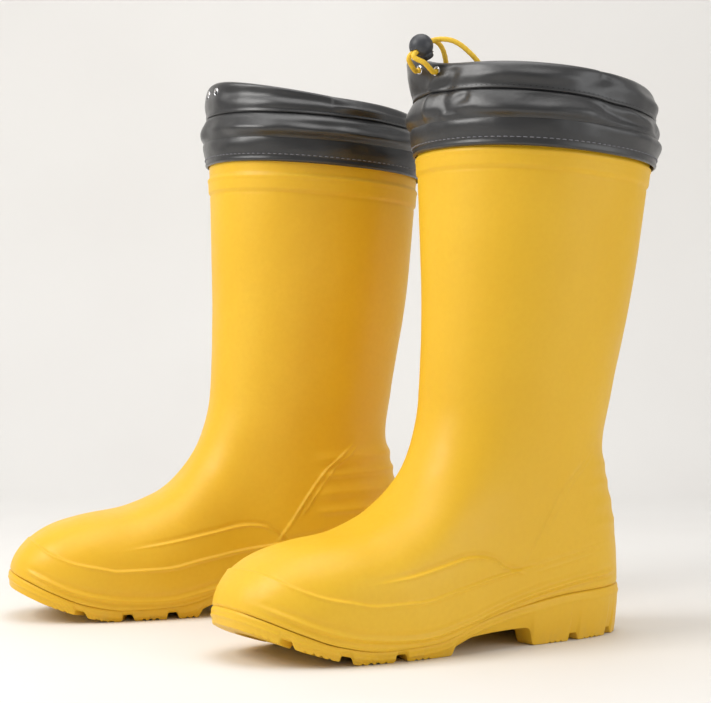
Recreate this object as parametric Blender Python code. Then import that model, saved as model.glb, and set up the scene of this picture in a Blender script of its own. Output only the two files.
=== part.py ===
"""A pair of EVA deck boots with drawcord cuffs. Metres, +Z up, toes toward -Y, left boot at +X.

Each boot is modelled in its own frame: F runs forward from the back of the heel, S is sideways and
positive on the outer side of the foot, Z is up. boot_point() turns that frame into the boot's own
Blender axes, and an empty carries each boot to its place in the pair.
"""

import math

import bmesh
import bpy
import numpy as np
from mathutils import Matrix, Vector

# Where the two boots stand
TOE_OUT = math.radians(8.6)
BOOTS = {
    "left": {"side": 1, "place": (0.0866, 0.1786)},
    "right": {"side": -1, "place": (-0.0866, 0.1003)},
}

# Each cuff as it stands: heights at the tilt centre, then the front peak and flare of its casing
CUFFS = {
    "left": {
        "band": (0.3305, 0.3480), "casing": (0.3655, 0.3850),
        "peak": 0.0115, "peak_at": -0.45, "peak_width": 0.45,
        "flare": 0.0070, "flare_width": 0.50,
    },
    "right": {
        "band": (0.3385, 0.3560), "casing": (0.3745, 0.3890),
        "peak": 0.0110, "peak_at": 0.0, "peak_width": 0.90,
        "flare": 0.0010, "flare_width": 0.45,
    },
}

# Body surface: (distance forward or height, value)
SOLE_LENGTH = 0.303
HALF_WIDTH = [
    (0, 0.042), (0.05, 0.043), (0.11, 0.0455), (0.16, 0.0533),
    (0.205, 0.058), (0.25, 0.0564), (0.303, 0.052),
]
MIDLINE = [(0, 0), (0.06, 0.001), (0.13, 0.003), (0.2, 0), (0.25, -0.004), (0.303, -0.009)]
INSTEP = [
    (0, 0.115), (0.06, 0.123), (0.1, 0.13), (0.13, 0.126), (0.16, 0.112),
    (0.19, 0.09), (0.22, 0.079), (0.25, 0.075), (0.28, 0.072), (0.303, 0.067),
]
SHAFT_FRONT = [(0, 0.152), (0.078, 0.152), (0.127, 0.1515), (0.166, 0.148), (0.244, 0.1455), (0.36, 0.147)]
SHAFT_BACK = [
    (0, 0.007), (0.049, 0.0045), (0.088, 0.008), (0.127, 0.0105),
    (0.166, 0.005), (0.244, -0.008), (0.36, -0.019),
]
SHAFT_HALF = [(0, 0.0414), (0.049, 0.0424), (0.0975, 0.046), (0.146, 0.0518), (0.2145, 0.06), (0.36, 0.0785)]
SHAFT_MIDDLE = [(0, 0.001), (0.117, 0.001), (0.2145, 0.0052), (0.36, 0.0097)]
WIDEST_HEIGHT = 0.029
TOE_ROUND_START = 0.222
HEEL_ROUND_START = 0.05
HEEL_BACK = 0.003
FOOT_SCALE = 0.055
SHAFT_SCALE = 0.065
BLEND = 0.03
NORMAL_REACH = 0.0005

# How square each part of the body is: 2 is an ellipse, more is squarer
TOE_POWER = 2.5
HEEL_POWER = 2.3
FOOT_ACROSS_POWER = 2.6
FOOT_UP_POWER = 2.5
FOOT_POWER = 2.4
SHAFT_ALONG_POWER = 2.25
SHAFT_ACROSS_POWER = 2.15
SHAFT_POWER = 2.2
SOLE_NARROWING = 0.1

# Rays that find the body surface
RAY_SPREAD = 0.6
SPINE_SPREAD = 0.55
SPINE_STRAIGHTENS = 1.5
RAY_LONGEST = 0.2
RAY_HALVINGS = 40

# Sole heights along the foot
PARTING = [
    (0, 0.0345), (0.063, 0.033), (0.102, 0.0286), (0.14, 0.0214), (0.183, 0.0095),
    (0.221, 0.0082), (0.253, 0.0135), (0.273, 0.021), (0.295, 0.031), (0.303, 0.035),
]
SOLE_BASE = [
    (0, 0.0058), (0.02, 0.005), (0.085, 0.005), (0.105, 0.0125), (0.15, 0.011),
    (0.17, 0.005), (0.235, 0.005), (0.276, 0.016), (0.303, 0.027),
]
TREAD = [(0, 0.0012), (0.015, 0), (0.235, 0), (0.25, 0.0032), (0.276, 0.0115), (0.303, 0.0235)]
LUG_ROOT = 0.0022

# Rings up the boot: (step, heel height, ball height, toe height, spine front, spine back)
RINGS = [
    (0.00, 0.0345, 0.0080, 0.0335, 0.235, 0.045),
    (0.06, 0.0450, 0.0220, 0.0420, 0.235, 0.045),
    (0.12, 0.0580, 0.0400, 0.0530, 0.235, 0.045),
    (0.18, 0.0690, 0.0540, 0.0610, 0.225, 0.045),
    (0.26, 0.0790, 0.0670, 0.0680, 0.200, 0.045),
    (0.36, 0.0920, 0.0880, 0.0910, 0.150, 0.050),
    (0.46, 0.1080, 0.1220, 0.1320, 0.110, 0.058),
    (0.58, 0.1380, 0.1710, 0.1860, 0.085, 0.070),
    (0.72, 0.1860, 0.2100, 0.2230, 0.078, 0.074),
    (1.00, 0.3465, 0.3465, 0.3465, 0.070, 0.070),
]
BALL = 0.2
TOE = 0.3
SOLE_STEPS = 0.3
AROUND = 40
SHELL_LEVELS = 18
CAVITY_LEVELS = 12
WALL = 0.0045
FOOT_WALL = 0.006
WALL_THINS = 2
FLOOR_STEP = 0.07
GAP = 0.0003

# Insole
INSOLE_INSET = 0.0045
INSOLE_LIFT = 0.0010
INSOLE_THICKNESS = 0.004

# Cuff: the whole cuff rises toward the front of the shaft
TILT = 0.0667
TILT_CENTRE = 0.065
RIM = 0.3465
BAND_THICKNESS = 0.002
BAND_ROUND = 0.0006
BAND_BULGE = 0.0004
SLEEVE_TUCK = 0.0012
SLEEVE_FOOT = 0.0025
SLEEVE_BULGE = 0.0025
SLEEVE_SHOULDER = 0.003
SLEEVE_OVERLAP = 0.0022
FABRIC = 0.0012
CHANNEL = 0.0064
HEM_ROUND = 0.002
HEM_CORNER = 0.0016
RING_STEPS = 40

# Eyelets, one on each side of the cuff's front
EYELET_BEARING = 0.12
EYELET_DROP = 0.0052
EYELET_STEP = 0.01
EYELET_RISE = 0.001
EYELET_SIDES = 16
HOLE_REACH = 0.003
EYELET_BORE = 0.0021
EYELET_BARREL = 0.0025
EYELET_FLANGE = 0.0037
EYELET_HOLE = 0.0028
WASHER_RADIUS = 0.0036
FLANGE_THICKNESS = 0.0006
WASHER_THICKNESS = 0.0005
WASHER_SETBACK = 0.0007
FLANGE_SETBACK = 0.0005
FLANGE_EDGE = 0.6

# Drawcord and cord lock
CORD_RADIUS = 0.0018
CORD_SETBACK = FABRIC + 0.0034
CORD_ABOVE_CASING = 0.0095
LOCK_PLACE = (0.1600, 0.0065, 0.4038)
LOCK_RADIUS = 0.0082
LOCK_PITCH = math.radians(33)
STRAND_SPACING = 0.00205
PLUNGER_RADIUS = 0.0050
PLUNGER_BORE = 0.0053
SLOT_WIDTH = 0.0084
SLOT_HEIGHT = 0.0042
PLUNGER_TRAVEL = 0.002
LOCK_SEGMENTS = (20, 12)

# The cord between an eyelet and the lock: along the strands, along the plunger, sideways
OUTER_BEND = [(-0.0078, 0.0100, 0.0062), (-0.0100, 0.0060, 0.0046), (-0.0112, 0.0030, 0.0028)]
INNER_BEND = [(-0.0078, 0.0100, -0.0090), (-0.0100, 0.0060, -0.0060), (-0.0112, 0.0030, -0.0034)]
EYELET_RUN = (0.0022, 0.0042)
SLOT_MOUTH = 0.0085
SLOT_EXIT = 0.0105

# Free ends of the cord inside the mouth: forward, sideways from the lock, up
OUTER_TAIL = [
    (0.1440, 0.0085, 0.4085),
    (0.1385, 0.0125, 0.4060),
    (0.1330, 0.0160, 0.4010),
    (0.1270, 0.0200, 0.3930),
    (0.1235, 0.0215, 0.3830),
    (0.1215, 0.0225, 0.3700),
    (0.1210, 0.0225, 0.3580),
]
INNER_TAIL = [
    (0.1450, -0.0020, 0.4080),
    (0.1405, -0.0020, 0.4035),
    (0.1375, -0.0025, 0.3950),
    (0.1360, -0.0030, 0.3840),
    (0.1352, -0.0035, 0.3710),
    (0.1350, -0.0035, 0.3600),
]
CORD_RING_POINTS = 13
CORD_CORNER = 0.11

# Inside the cord lock, along the plunger from the ball's centre
LOCK_FLOOR = -0.0054
PLUNGER_FOOT = -0.0019
PLUNGER_TOP = 0.0100
SLOT_CENTRE = 0.0012
SPRING_COILS = 1.25
SPRING_WIRE = 0.00018
SPRING_RADIUS = 0.0034
SPRING_POINTS = 28

# Lug plan
EDGE_LUGS = (1, 3, 5, 7, 14, 16)
LUG_INSET = 0.003
EDGE_LUG_REACH = 0.018
CHEVRON = (0.022, 0.010, 0.009)
CHEVRONS_AT = (0.172, 0.199, 0.226)
HEEL_BAR = (0.012, 0.010)
HEEL_BARS_AT = (0.032, 0.058)

# Sewing thread
THREAD = 0.0006
BAND_SEAM_RISE = 0.0040
CASING_SEAM_RISE = 0.0017
BAND_SEAM_OFFSET = BAND_THICKNESS + 3 * GAP
CASING_SEAM_OFFSET = 2 * GAP


def clear_scene():
    for obj in list(bpy.data.objects):
        bpy.data.objects.remove(obj)


def material(name, colour, roughness, metallic=0.0):
    made = bpy.data.materials.new(name)
    made.use_nodes = True
    shader = made.node_tree.nodes["Principled BSDF"]
    shader.inputs["Base Color"].default_value = (*colour, 1)
    shader.inputs["Roughness"].default_value = roughness
    shader.inputs["Metallic"].default_value = metallic
    return made


def make_materials():
    return {
        "eva": material("eva_yellow", (0.80, 0.47, 0.06), 0.5),
        "fabric": material("coated_fabric_black", (0.02, 0.02, 0.024), 0.42),
        "metal": material("eyelet_metal", (0.62, 0.63, 0.65), 0.3, 1.0),
        "cord": material("cord_yellow", (0.86, 0.58, 0.03), 0.6),
        "plastic": material("lock_plastic_grey", (0.045, 0.048, 0.055), 0.45),
        "steel": material("spring_steel", (0.55, 0.55, 0.56), 0.3, 1.0),
        "thread": material("thread_grey", (0.20, 0.20, 0.22), 0.7),
        "foam": material("insole_foam", (0.10, 0.10, 0.11), 0.8),
    }


def smooth(table, at):
    """A monotone cubic curve through the table's points."""
    xs, ys = np.array(table, float).T
    step = np.diff(xs)
    rise = np.diff(ys) / step
    slope = np.zeros(len(xs))
    slope[0] = rise[0]
    slope[-1] = rise[-1]
    for i in range(1, len(xs) - 1):
        if rise[i - 1] * rise[i] > 0:
            before = 2 * step[i] + step[i - 1]
            after = step[i] + 2 * step[i - 1]
            slope[i] = (before + after) / (before / rise[i - 1] + after / rise[i])
    at = np.clip(at, xs[0], xs[-1])
    i = np.clip(np.searchsorted(xs, at) - 1, 0, len(step) - 1)
    t = (at - xs[i]) / step[i]
    ends = (1 + 2 * t) * (1 - t) ** 2 * ys[i] + t * t * (3 - 2 * t) * ys[i + 1]
    bends = t * (1 - t) ** 2 * slope[i] + t * t * (t - 1) * slope[i + 1]
    return ends + step[i] * bends


def foot_distance(f, s, z):
    """Roughly the distance outside the foot volume, negative inside it."""
    toe = np.maximum(0, (f - TOE_ROUND_START) / (SOLE_LENGTH - TOE_ROUND_START)) ** TOE_POWER
    heel = np.maximum(0, (HEEL_ROUND_START - f) / (HEEL_ROUND_START - HEEL_BACK)) ** HEEL_POWER
    lean = 1 - SOLE_NARROWING * np.clip((WIDEST_HEIGHT - z) / WIDEST_HEIGHT, 0, 1) ** 2
    across = np.abs((s - smooth(MIDLINE, f)) / (smooth(HALF_WIDTH, f) * lean)) ** FOOT_ACROSS_POWER
    up = (np.maximum(0, z - WIDEST_HEIGHT) / (smooth(INSTEP, f) - WIDEST_HEIGHT)) ** FOOT_UP_POWER
    return ((toe + heel + across + up) ** (1 / FOOT_POWER) - 1) * FOOT_SCALE


def shaft_distance(f, s, z):
    front = smooth(SHAFT_FRONT, z)
    back = smooth(SHAFT_BACK, z)
    along = np.abs((f - (front + back) / 2) / ((front - back) / 2)) ** SHAFT_ALONG_POWER
    across = np.abs((s - smooth(SHAFT_MIDDLE, z)) / smooth(SHAFT_HALF, z)) ** SHAFT_ACROSS_POWER
    return ((along + across) ** (1 / SHAFT_POWER) - 1) * SHAFT_SCALE


def body_distance(points):
    """The smooth union of the foot and shaft volumes."""
    foot = foot_distance(*points.T)
    shaft = shaft_distance(*points.T)
    share = np.clip(0.5 + 0.5 * (shaft - foot) / BLEND, 0, 1)
    return shaft * (1 - share) + foot * share - BLEND * share * (1 - share)


def outward(points):
    """Unit normals of the body surface."""
    steps = NORMAL_REACH * np.eye(3)
    slopes = [body_distance(points + step) - body_distance(points - step) for step in steps]
    normal = np.stack(slopes, 1)
    return normal / np.linalg.norm(normal, axis=1)[:, None]


def ring_height(step, f):
    """The height of a ring at a distance forward: a parabola, bent to the parting line near the sole."""
    columns = np.array(RINGS)
    heel, ball, toe = (smooth(columns[:, [0, k]], step) for k in (1, 2, 3))
    first = columns[0]

    def through(low, middle, high):
        at_heel = low * (f - BALL) * (f - TOE) / (BALL * TOE)
        at_ball = middle * f * (f - TOE) / (BALL * (BALL - TOE))
        at_toe = high * f * (f - BALL) / (TOE * (TOE - BALL))
        return at_heel + at_ball + at_toe

    bend = max(0, 1 - step / SOLE_STEPS)
    return through(heel, ball, toe) + bend * (smooth(PARTING, f) - through(first[1], first[2], first[3]))


def fan(count, bearings=None):
    """Ray directions round the boot, the first toward the toe."""
    turn = np.linspace(0, 2 * math.pi, count, endpoint=False) if bearings is None else np.asarray(bearings)
    along = np.cos(turn) * np.abs(np.cos(turn)) ** RAY_SPREAD
    across = np.sin(turn)
    long = np.hypot(along, across)
    return turn, along / long, across / long


def ring(step, count=AROUND, height=None, bearings=None):
    """Points where one ring meets the body surface, found by halving along each ray."""
    columns = np.array(RINGS)
    front, back = (smooth(columns[:, [0, k]], step) for k in (4, 5))
    turn, along, across = fan(count, bearings)
    lean = 0.5 + 0.5 * np.sign(np.cos(turn)) * np.abs(np.cos(turn)) ** SPINE_SPREAD
    f0 = back + (front - back) * lean
    s0 = smooth(MIDLINE, f0) * (1 - min(1, SPINE_STRAIGHTENS * step))
    level = height if height else lambda f: ring_height(step, f)
    near = np.zeros(len(turn))
    far = np.full(len(turn), RAY_LONGEST)
    for _ in range(RAY_HALVINGS):
        reach = (near + far) / 2
        f = f0 + reach * along
        s = s0 + reach * across
        inside = body_distance(np.stack([f, s, level(f)], 1)) < 0
        near = np.where(inside, reach, near)
        far = np.where(inside, far, reach)
    f = f0 + near * along
    return np.stack([f, s0 + near * across, level(f)], 1)


def tilt(f):
    return TILT * (f - TILT_CENTRE)


def rim_height(f):
    return RIM + tilt(f)


def full_turn():
    return np.linspace(0, 2 * math.pi, RING_STEPS, endpoint=False)


def cuff_ring(height, offset, bearings=None, rise=0):
    """A ring round the shaft at a cuff height, moved out from the shaft's surface by the offset."""
    base = ring(1, RING_STEPS, rim_height, bearings)
    normal = outward(base) * [1, 1, 0]
    normal /= np.linalg.norm(normal, axis=1)[:, None]
    made = base + np.reshape(offset, (-1, 1)) * normal
    made[:, 2] = height + rise + tilt(base[:, 0])
    return made


def front_bulge(cuff, size, width, turn):
    """A soft rise near the cuff's front: 0 at the back, size at the peak's bearing."""
    away = (turn - cuff["peak_at"] + math.pi) % (2 * math.pi) - math.pi
    return size * np.exp(-((away / width) ** 2))


def peak(cuff, turn):
    """How far the casing's top rises round the cuff."""
    return front_bulge(cuff, cuff["peak"], cuff["peak_width"], turn)


def flare(cuff, turn):
    """How far the casing's top leans outward round the cuff."""
    return front_bulge(cuff, cuff["flare"], cuff["flare_width"], turn)


def boot_point(point, side):
    """From (forward, sideways, up) to the boot's own Blender axes."""
    f, s, z = point
    return Vector((side * s, -f, z))


def solid(name, points, faces, look, boot, flat=False):
    """A closed mesh from points in the boot's frame, with its faces turned out."""
    mesh = bpy.data.meshes.new(name)
    mesh.from_pydata([boot_point(p, boot["side"]) for p in points], [], faces)
    work = bmesh.new()
    work.from_mesh(mesh)
    bmesh.ops.triangulate(work, faces=work.faces)
    bmesh.ops.recalc_face_normals(work, faces=work.faces)
    work.to_mesh(mesh)
    work.free()
    for face in mesh.polygons:
        face.use_smooth = not flat
    mesh.materials.append(look)
    made = bpy.data.objects.new(name, mesh)
    bpy.context.collection.objects.link(made)
    made.parent = boot["origin"]
    return made


def tube_faces(rings, count):
    """Quads that join each ring of points to the next."""
    faces = []
    for low in range(0, (rings - 1) * count, count):
        for i in range(count):
            beside = (i + 1) % count
            faces.append((low + i, low + beside, low + count + beside, low + count + i))
    return faces


def cap_faces(first, count):
    """Faces that close a ring: strips from one side of the boot to the other."""
    half = count // 2
    strips = [
        (first + k, first + k + 1, first + count - k - 1, first + count - k) for k in range(1, half - 1)
    ]
    toe = (first, first + 1, first + count - 1)
    heel = (first + half - 1, first + half, first + half + 1)
    return [toe, *strips, heel]


def closed_ring(name, rings, look, boot):
    """A hoop whose cross-section runs through the given rings and back to the first."""
    count = len(rings[0])
    around = len(rings)
    faces = tube_faces(around, count)
    last = (around - 1) * count
    faces += [(last + i, last + (i + 1) % count, (i + 1) % count, i) for i in range(count)]
    return solid(name, np.concatenate(rings), faces, look, boot)


def wall_at(step):
    """The upper's wall thickness, more round the foot than up the shaft."""
    return WALL + (FOOT_WALL - WALL) * max(0, 1 - WALL_THINS * step)


def make_shell(label, boot, look):
    """The moulded upper: outer surface up to the rim, then down the inside to the floor."""
    outer = [ring(step) for step in np.linspace(0, 1, SHELL_LEVELS)]
    outer[0] = outer[0] + [0, 0, GAP]
    rim = ring(1, height=rim_height)
    outer[-1] = rim
    inner = []
    for step in np.linspace(1, FLOOR_STEP, CAVITY_LEVELS):
        base = rim if step == 1 else ring(step)
        wall = wall_at(step)
        normal = outward(base)
        if step == 1:
            normal[:, 2] = 0
        inner.append(base - wall * normal)
    points = np.concatenate(outer + inner)
    rings = len(outer) + len(inner)
    faces = tube_faces(rings, AROUND) + cap_faces(0, AROUND) + cap_faces((rings - 1) * AROUND, AROUND)
    return solid(f"{label}_shell", points, faces, look["eva"], boot)


def sole_ring(table, drop=0.0):
    return ring(0, height=lambda f: smooth(table, f) - drop)


def make_outsole(label, boot, look):
    """The sole below the parting line, with its lugs joined on."""
    top = sole_ring(PARTING, GAP)
    bottom = sole_ring(SOLE_BASE)
    middle = ring(0, height=lambda f: (smooth(PARTING, f) - GAP + smooth(SOLE_BASE, f)) / 2)
    faces = tube_faces(3, AROUND) + cap_faces(0, AROUND) + cap_faces(2 * AROUND, AROUND)
    sole = solid(f"{label}_outsole", np.concatenate([top, middle, bottom]), faces, look["eva"], boot)
    lugs = make_lugs(label, boot, look)
    join = sole.modifiers.new("lugs", "BOOLEAN")
    join.operation = "UNION"
    # EXACT leaves this union open, and both meshes are closed
    join.solver = "MANIFOLD"
    join.object = lugs
    lugs.hide_render = True
    lugs.display_type = "WIRE"
    return sole


def lug(corners):
    """One block from just inside the sole's base down to the tread surface."""
    plan = np.array(corners)
    top = smooth(SOLE_BASE, plan[:, 0]) + LUG_ROOT
    bottom = smooth(TREAD, plan[:, 0])
    count = len(plan)
    points = np.concatenate([np.column_stack([plan, bottom]), np.column_stack([plan, top])])
    faces = [tuple(range(count)), tuple(range(count, 2 * count))]
    faces += [(i, (i + 1) % count, count + (i + 1) % count, count + i) for i in range(count)]
    return points, faces


def edge_lugs(outline):
    """Plan shapes of the lugs along the sole's edge, in the forefoot and the heel."""
    shapes = []
    for first in EDGE_LUGS:
        for pair in ((first, first + 1), (AROUND - first, AROUND - first - 1)):
            edge = outline[list(pair)]
            middle = np.array([edge[:, 0].mean(), smooth(MIDLINE, edge[:, 0].mean())])
            pull = (middle - edge) / np.linalg.norm(middle - edge, axis=1)[:, None]
            shapes.append([*(edge + LUG_INSET * pull), *(edge + EDGE_LUG_REACH * pull)[::-1]])
    return shapes


def chevron(f):
    s = float(smooth(MIDLINE, f))
    arm, sweep, bar = CHEVRON
    outer_arm = [(f + bar - sweep, s + arm), (f - sweep, s + arm)]
    inner_arm = [(f - sweep, s - arm), (f + bar - sweep, s - arm)]
    return [(f + bar, s), *outer_arm, (f, s), *inner_arm]


def heel_bar(f):
    half, bar = HEEL_BAR
    return [(f, -half), (f + bar, -half), (f + bar, half), (f, half)]


def make_lugs(label, boot, look):
    outline = ring(0, height=lambda f: smooth(SOLE_BASE, f))[:, :2]
    shapes = edge_lugs(outline) + [chevron(f) for f in CHEVRONS_AT] + [heel_bar(f) for f in HEEL_BARS_AT]
    points = []
    faces = []
    for shape in shapes:
        new_points, new_faces = lug(shape)
        faces += [tuple(len(points) + i for i in face) for face in new_faces]
        points += list(new_points)
    return solid(f"{label}_lug_blocks", points, faces, look["eva"], boot, flat=True)


def make_insole(label, boot, look):
    """The removable footbed, lying on the floor of the upper."""
    base = ring(FLOOR_STEP)
    floor = base - wall_at(FLOOR_STEP) * outward(base)
    inward = floor[:, :2].mean(axis=0) - floor[:, :2]
    inward /= np.linalg.norm(inward, axis=1)[:, None]
    bottom = floor + np.column_stack([INSOLE_INSET * inward, np.full(AROUND, INSOLE_LIFT)])
    top = bottom + [0, 0, INSOLE_THICKNESS]
    faces = tube_faces(2, AROUND) + cap_faces(0, AROUND) + cap_faces(AROUND, AROUND)
    return solid(f"{label}_insole", np.concatenate([bottom, top]), faces, look["foam"], boot)


def make_band(label, boot, look):
    """The folded band of fabric sewn round the outside of the shaft's top."""
    bottom, top = CUFFS[label]["band"]
    outside = GAP + BAND_THICKNESS
    middle = (bottom + top) / 2
    section = [
        (bottom, GAP),
        (bottom, outside - BAND_ROUND),
        (middle, outside + BAND_BULGE),
        (top, outside - BAND_ROUND),
        (top, GAP),
        (middle, GAP),
    ]
    return closed_ring(f"{label}_cuff_band", [cuff_ring(h, o) for h, o in section], look["fabric"], boot)


def make_sleeve(label, boot, look):
    """The soft tube between the band and the casing. Its top edge sits inside the casing's slot."""
    bottom = CUFFS[label]["band"][1] - SLEEVE_TUCK
    casing_bottom = CUFFS[label]["casing"][0]
    foot = bottom + SLEEVE_FOOT
    inside_slot = -FABRIC - CHANNEL / 2 + FABRIC / 2
    outside = [
        (bottom, -FABRIC + GAP),
        (foot, 0),
        ((foot + casing_bottom) / 2, SLEEVE_BULGE),
        (casing_bottom - SLEEVE_SHOULDER, 0),
        (casing_bottom + SLEEVE_OVERLAP, inside_slot),
    ]
    section = outside + [(h, o - FABRIC) for h, o in reversed(outside)]
    return closed_ring(f"{label}_cuff_sleeve", [cuff_ring(h, o) for h, o in section], look["fabric"], boot)


def casing_section(cuff):
    """The hem's cross-section, an upside-down U, as (height, offset, share of the front peak and flare)."""
    low, top = cuff["casing"]
    outer_wall = -FABRIC
    inner_wall = -FABRIC - CHANNEL
    inside = inner_wall - FABRIC
    return [
        (low, 0, 0),
        (top - HEM_ROUND, 0, 1),
        (top, -HEM_CORNER, 1),
        (top, inside + HEM_CORNER, 1),
        (top - HEM_ROUND, inside, 1),
        (low, inside, 0),
        (low, inner_wall, 0),
        (top - FABRIC, inner_wall, 1),
        (top - FABRIC, outer_wall, 1),
        (low, outer_wall, 0),
    ]


def make_casing(label, boot, look):
    cuff = CUFFS[label]
    turn = full_turn()
    rings = [
        cuff_ring(h, o + share * flare(cuff, turn), rise=share * peak(cuff, turn))
        for h, o, share in casing_section(cuff)
    ]
    casing = closed_ring(f"{label}_cuff_casing", rings, look["fabric"], boot)
    for which, turn in eyelet_turns():
        frame = eyelet_frame(cuff, turn)
        cutter = make_disc(f"{label}_{which}_hole", boot, frame, EYELET_HOLE, look["fabric"])
        cut = casing.modifiers.new(f"{which}_hole", "BOOLEAN")
        cut.operation = "DIFFERENCE"
        cut.solver = "EXACT"
        cut.object = cutter
        cutter.hide_render = True
        cutter.display_type = "WIRE"
    return casing


def eyelet_turns():
    return (("outer", EYELET_BEARING), ("inner", -EYELET_BEARING))


def casing_point(cuff, height, offset, turn):
    """Points on the casing's wall, which leans out toward its top near the front."""
    low, top = cuff["casing"]
    share = (height - low) / (top - HEM_ROUND - low)
    return cuff_ring(height, offset + share * flare(cuff, turn), turn, share * peak(cuff, turn))


def eyelet_frame(cuff, turn):
    """The centre of an eyelet on the casing's outer face, and the direction it faces."""
    turns = np.array([turn, turn + EYELET_STEP])
    height = cuff["casing"][1] - EYELET_DROP
    centre, beside = casing_point(cuff, height, 0, turns)
    above = casing_point(cuff, height + EYELET_RISE, 0, turns)[0]
    normal = np.cross(beside - centre, above - centre)
    return centre, normal / np.linalg.norm(normal)


def spun(frame, section):
    """A hoop or disc: (radius, distance out) points turned round the eyelet's axis."""
    centre, normal = frame
    side = np.cross(normal, [0, 0, 1])
    side /= np.linalg.norm(side)
    up = np.cross(side, normal)
    turn = np.linspace(0, 2 * math.pi, EYELET_SIDES, endpoint=False)[:, None]
    around = np.cos(turn) * side + np.sin(turn) * up
    return [centre + out * normal + radius * around for radius, out in section]


def make_disc(name, boot, frame, radius, look):
    rings = spun(frame, [(radius, -HOLE_REACH), (radius, HOLE_REACH)])
    faces = tube_faces(2, EYELET_SIDES)
    faces += [tuple(range(EYELET_SIDES)), tuple(range(EYELET_SIDES, 2 * EYELET_SIDES))]
    return solid(name, np.concatenate(rings), faces, look, boot)


def make_eyelets(label, boot, look):
    """Each eyelet's outer flange and barrel, and the washer behind the fabric that it is clenched over."""
    back = -FABRIC - WASHER_SETBACK - WASHER_THICKNESS
    front = FLANGE_SETBACK
    flange = [
        (EYELET_BORE, back),
        (EYELET_BORE, front + FLANGE_THICKNESS),
        (EYELET_FLANGE, front + FLANGE_THICKNESS * FLANGE_EDGE),
        (EYELET_FLANGE, front),
        (EYELET_BARREL, front),
        (EYELET_BARREL, back),
    ]
    washer = [
        (EYELET_BARREL + GAP, back),
        (EYELET_BARREL + GAP, back + WASHER_THICKNESS),
        (WASHER_RADIUS, back + WASHER_THICKNESS),
        (WASHER_RADIUS, back),
    ]
    for which, turn in eyelet_turns():
        frame = eyelet_frame(CUFFS[label], turn)
        closed_ring(f"{label}_{which}_eyelet", spun(frame, flange), look["metal"], boot)
        closed_ring(f"{label}_{which}_washer", spun(frame, washer), look["metal"], boot)


def make_thread(name, boot, look, height, offset):
    """The sewing thread of one seam, a single line round the cuff."""
    low = height - THREAD / 2
    high = height + THREAD / 2
    far = offset + THREAD
    section = [(low, offset), (low, far), (high, far), (high, offset)]
    return closed_ring(name, [cuff_ring(h, o) for h, o in section], look["thread"], boot)


def lock_axes():
    """The cord lock's own axes: along the strands, across them, and along the plunger."""
    strand = np.array([-math.cos(LOCK_PITCH), 0, math.sin(LOCK_PITCH)])
    plunger = np.array([-math.sin(LOCK_PITCH), 0, -math.cos(LOCK_PITCH)])
    return strand, plunger


def half_route(sign):
    """One half of the drawcord, from the back of the cuff to its free end inside the mouth."""
    cuff = CUFFS["left"]
    turns = np.linspace(math.pi, EYELET_BEARING + CORD_CORNER, CORD_RING_POINTS) * sign
    entry, normal = eyelet_frame(cuff, sign * EYELET_BEARING)
    low, top = cuff["casing"]
    near_front = np.clip(peak(cuff, turns) / peak(cuff, sign * EYELET_BEARING), 0, 1)
    heights = low + CORD_ABOVE_CASING + (top - EYELET_DROP - low - CORD_ABOVE_CASING) * near_front
    held = casing_point(cuff, heights, -CORD_SETBACK, turns)
    corner = entry - CORD_SETBACK * normal
    strand, plunger_out = lock_axes()
    sideways = np.array([0, 1, 0])
    shape = OUTER_BEND if sign > 0 else INNER_BEND
    free_end = OUTER_TAIL if sign > 0 else INNER_TAIL
    lock = np.array(LOCK_PLACE) + SLOT_CENTRE * plunger_out + sign * STRAND_SPACING * sideways
    bend = [np.array(LOCK_PLACE) + a * strand + b * plunger_out + s * sideways for a, b, s in shape]
    out = [entry + run * normal for run in EYELET_RUN]
    through_lock = [lock - SLOT_MOUTH * strand, lock, lock + SLOT_EXIT * strand]
    tail = [np.array([f, LOCK_PLACE[1] + s, z]) for f, s, z in free_end]
    return [*held, corner, entry, *halved(np.array([*out, *bend, *through_lock, *tail]))]


def halved(route):
    """The route's points with one more between each two, on a smooth curve through them all."""
    padded = np.concatenate([[2 * route[0] - route[1]], route, [2 * route[-1] - route[-2]]])
    made = []
    for before, start, end, after in zip(padded, padded[1:], padded[2:], padded[3:]):
        made += [start, (9 * (start + end) - before - after) / 16]
    return [*made, route[-1]]


def make_drawcord(boot, look):
    """One cord: a free end, through the lock, round the casing, through the lock to the other end."""
    route = half_route(1)[::-1] + half_route(-1)[1:]
    curve = bpy.data.curves.new("left_drawcord", "CURVE")
    curve.dimensions = "3D"
    curve.bevel_depth = CORD_RADIUS
    curve.bevel_resolution = 2
    curve.use_fill_caps = True
    spline = curve.splines.new("POLY")
    spline.points.add(len(route) - 1)
    for point, at in zip(spline.points, route):
        point.co = (*boot_point(at, boot["side"]), 1)
    curve.materials.append(look["cord"])
    made = bpy.data.objects.new("left_drawcord", curve)
    bpy.context.collection.objects.link(made)
    made.parent = boot["origin"]


def lock_object(name, work, look, empty):
    """Turns a bmesh into an object of the cord lock."""
    mesh = bpy.data.meshes.new(name)
    bmesh.ops.recalc_face_normals(work, faces=work.faces)
    work.to_mesh(mesh)
    work.free()
    for face in mesh.polygons:
        face.use_smooth = True
    mesh.materials.append(look)
    made = bpy.data.objects.new(name, mesh)
    bpy.context.collection.objects.link(made)
    made.parent = empty
    return made


def cut_by(target, cutter):
    cut = target.modifiers.new(cutter.name, "BOOLEAN")
    cut.operation = "DIFFERENCE"
    cut.solver = "EXACT"
    cut.object = cutter
    cutter.hide_render = True
    cutter.display_type = "WIRE"


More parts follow.
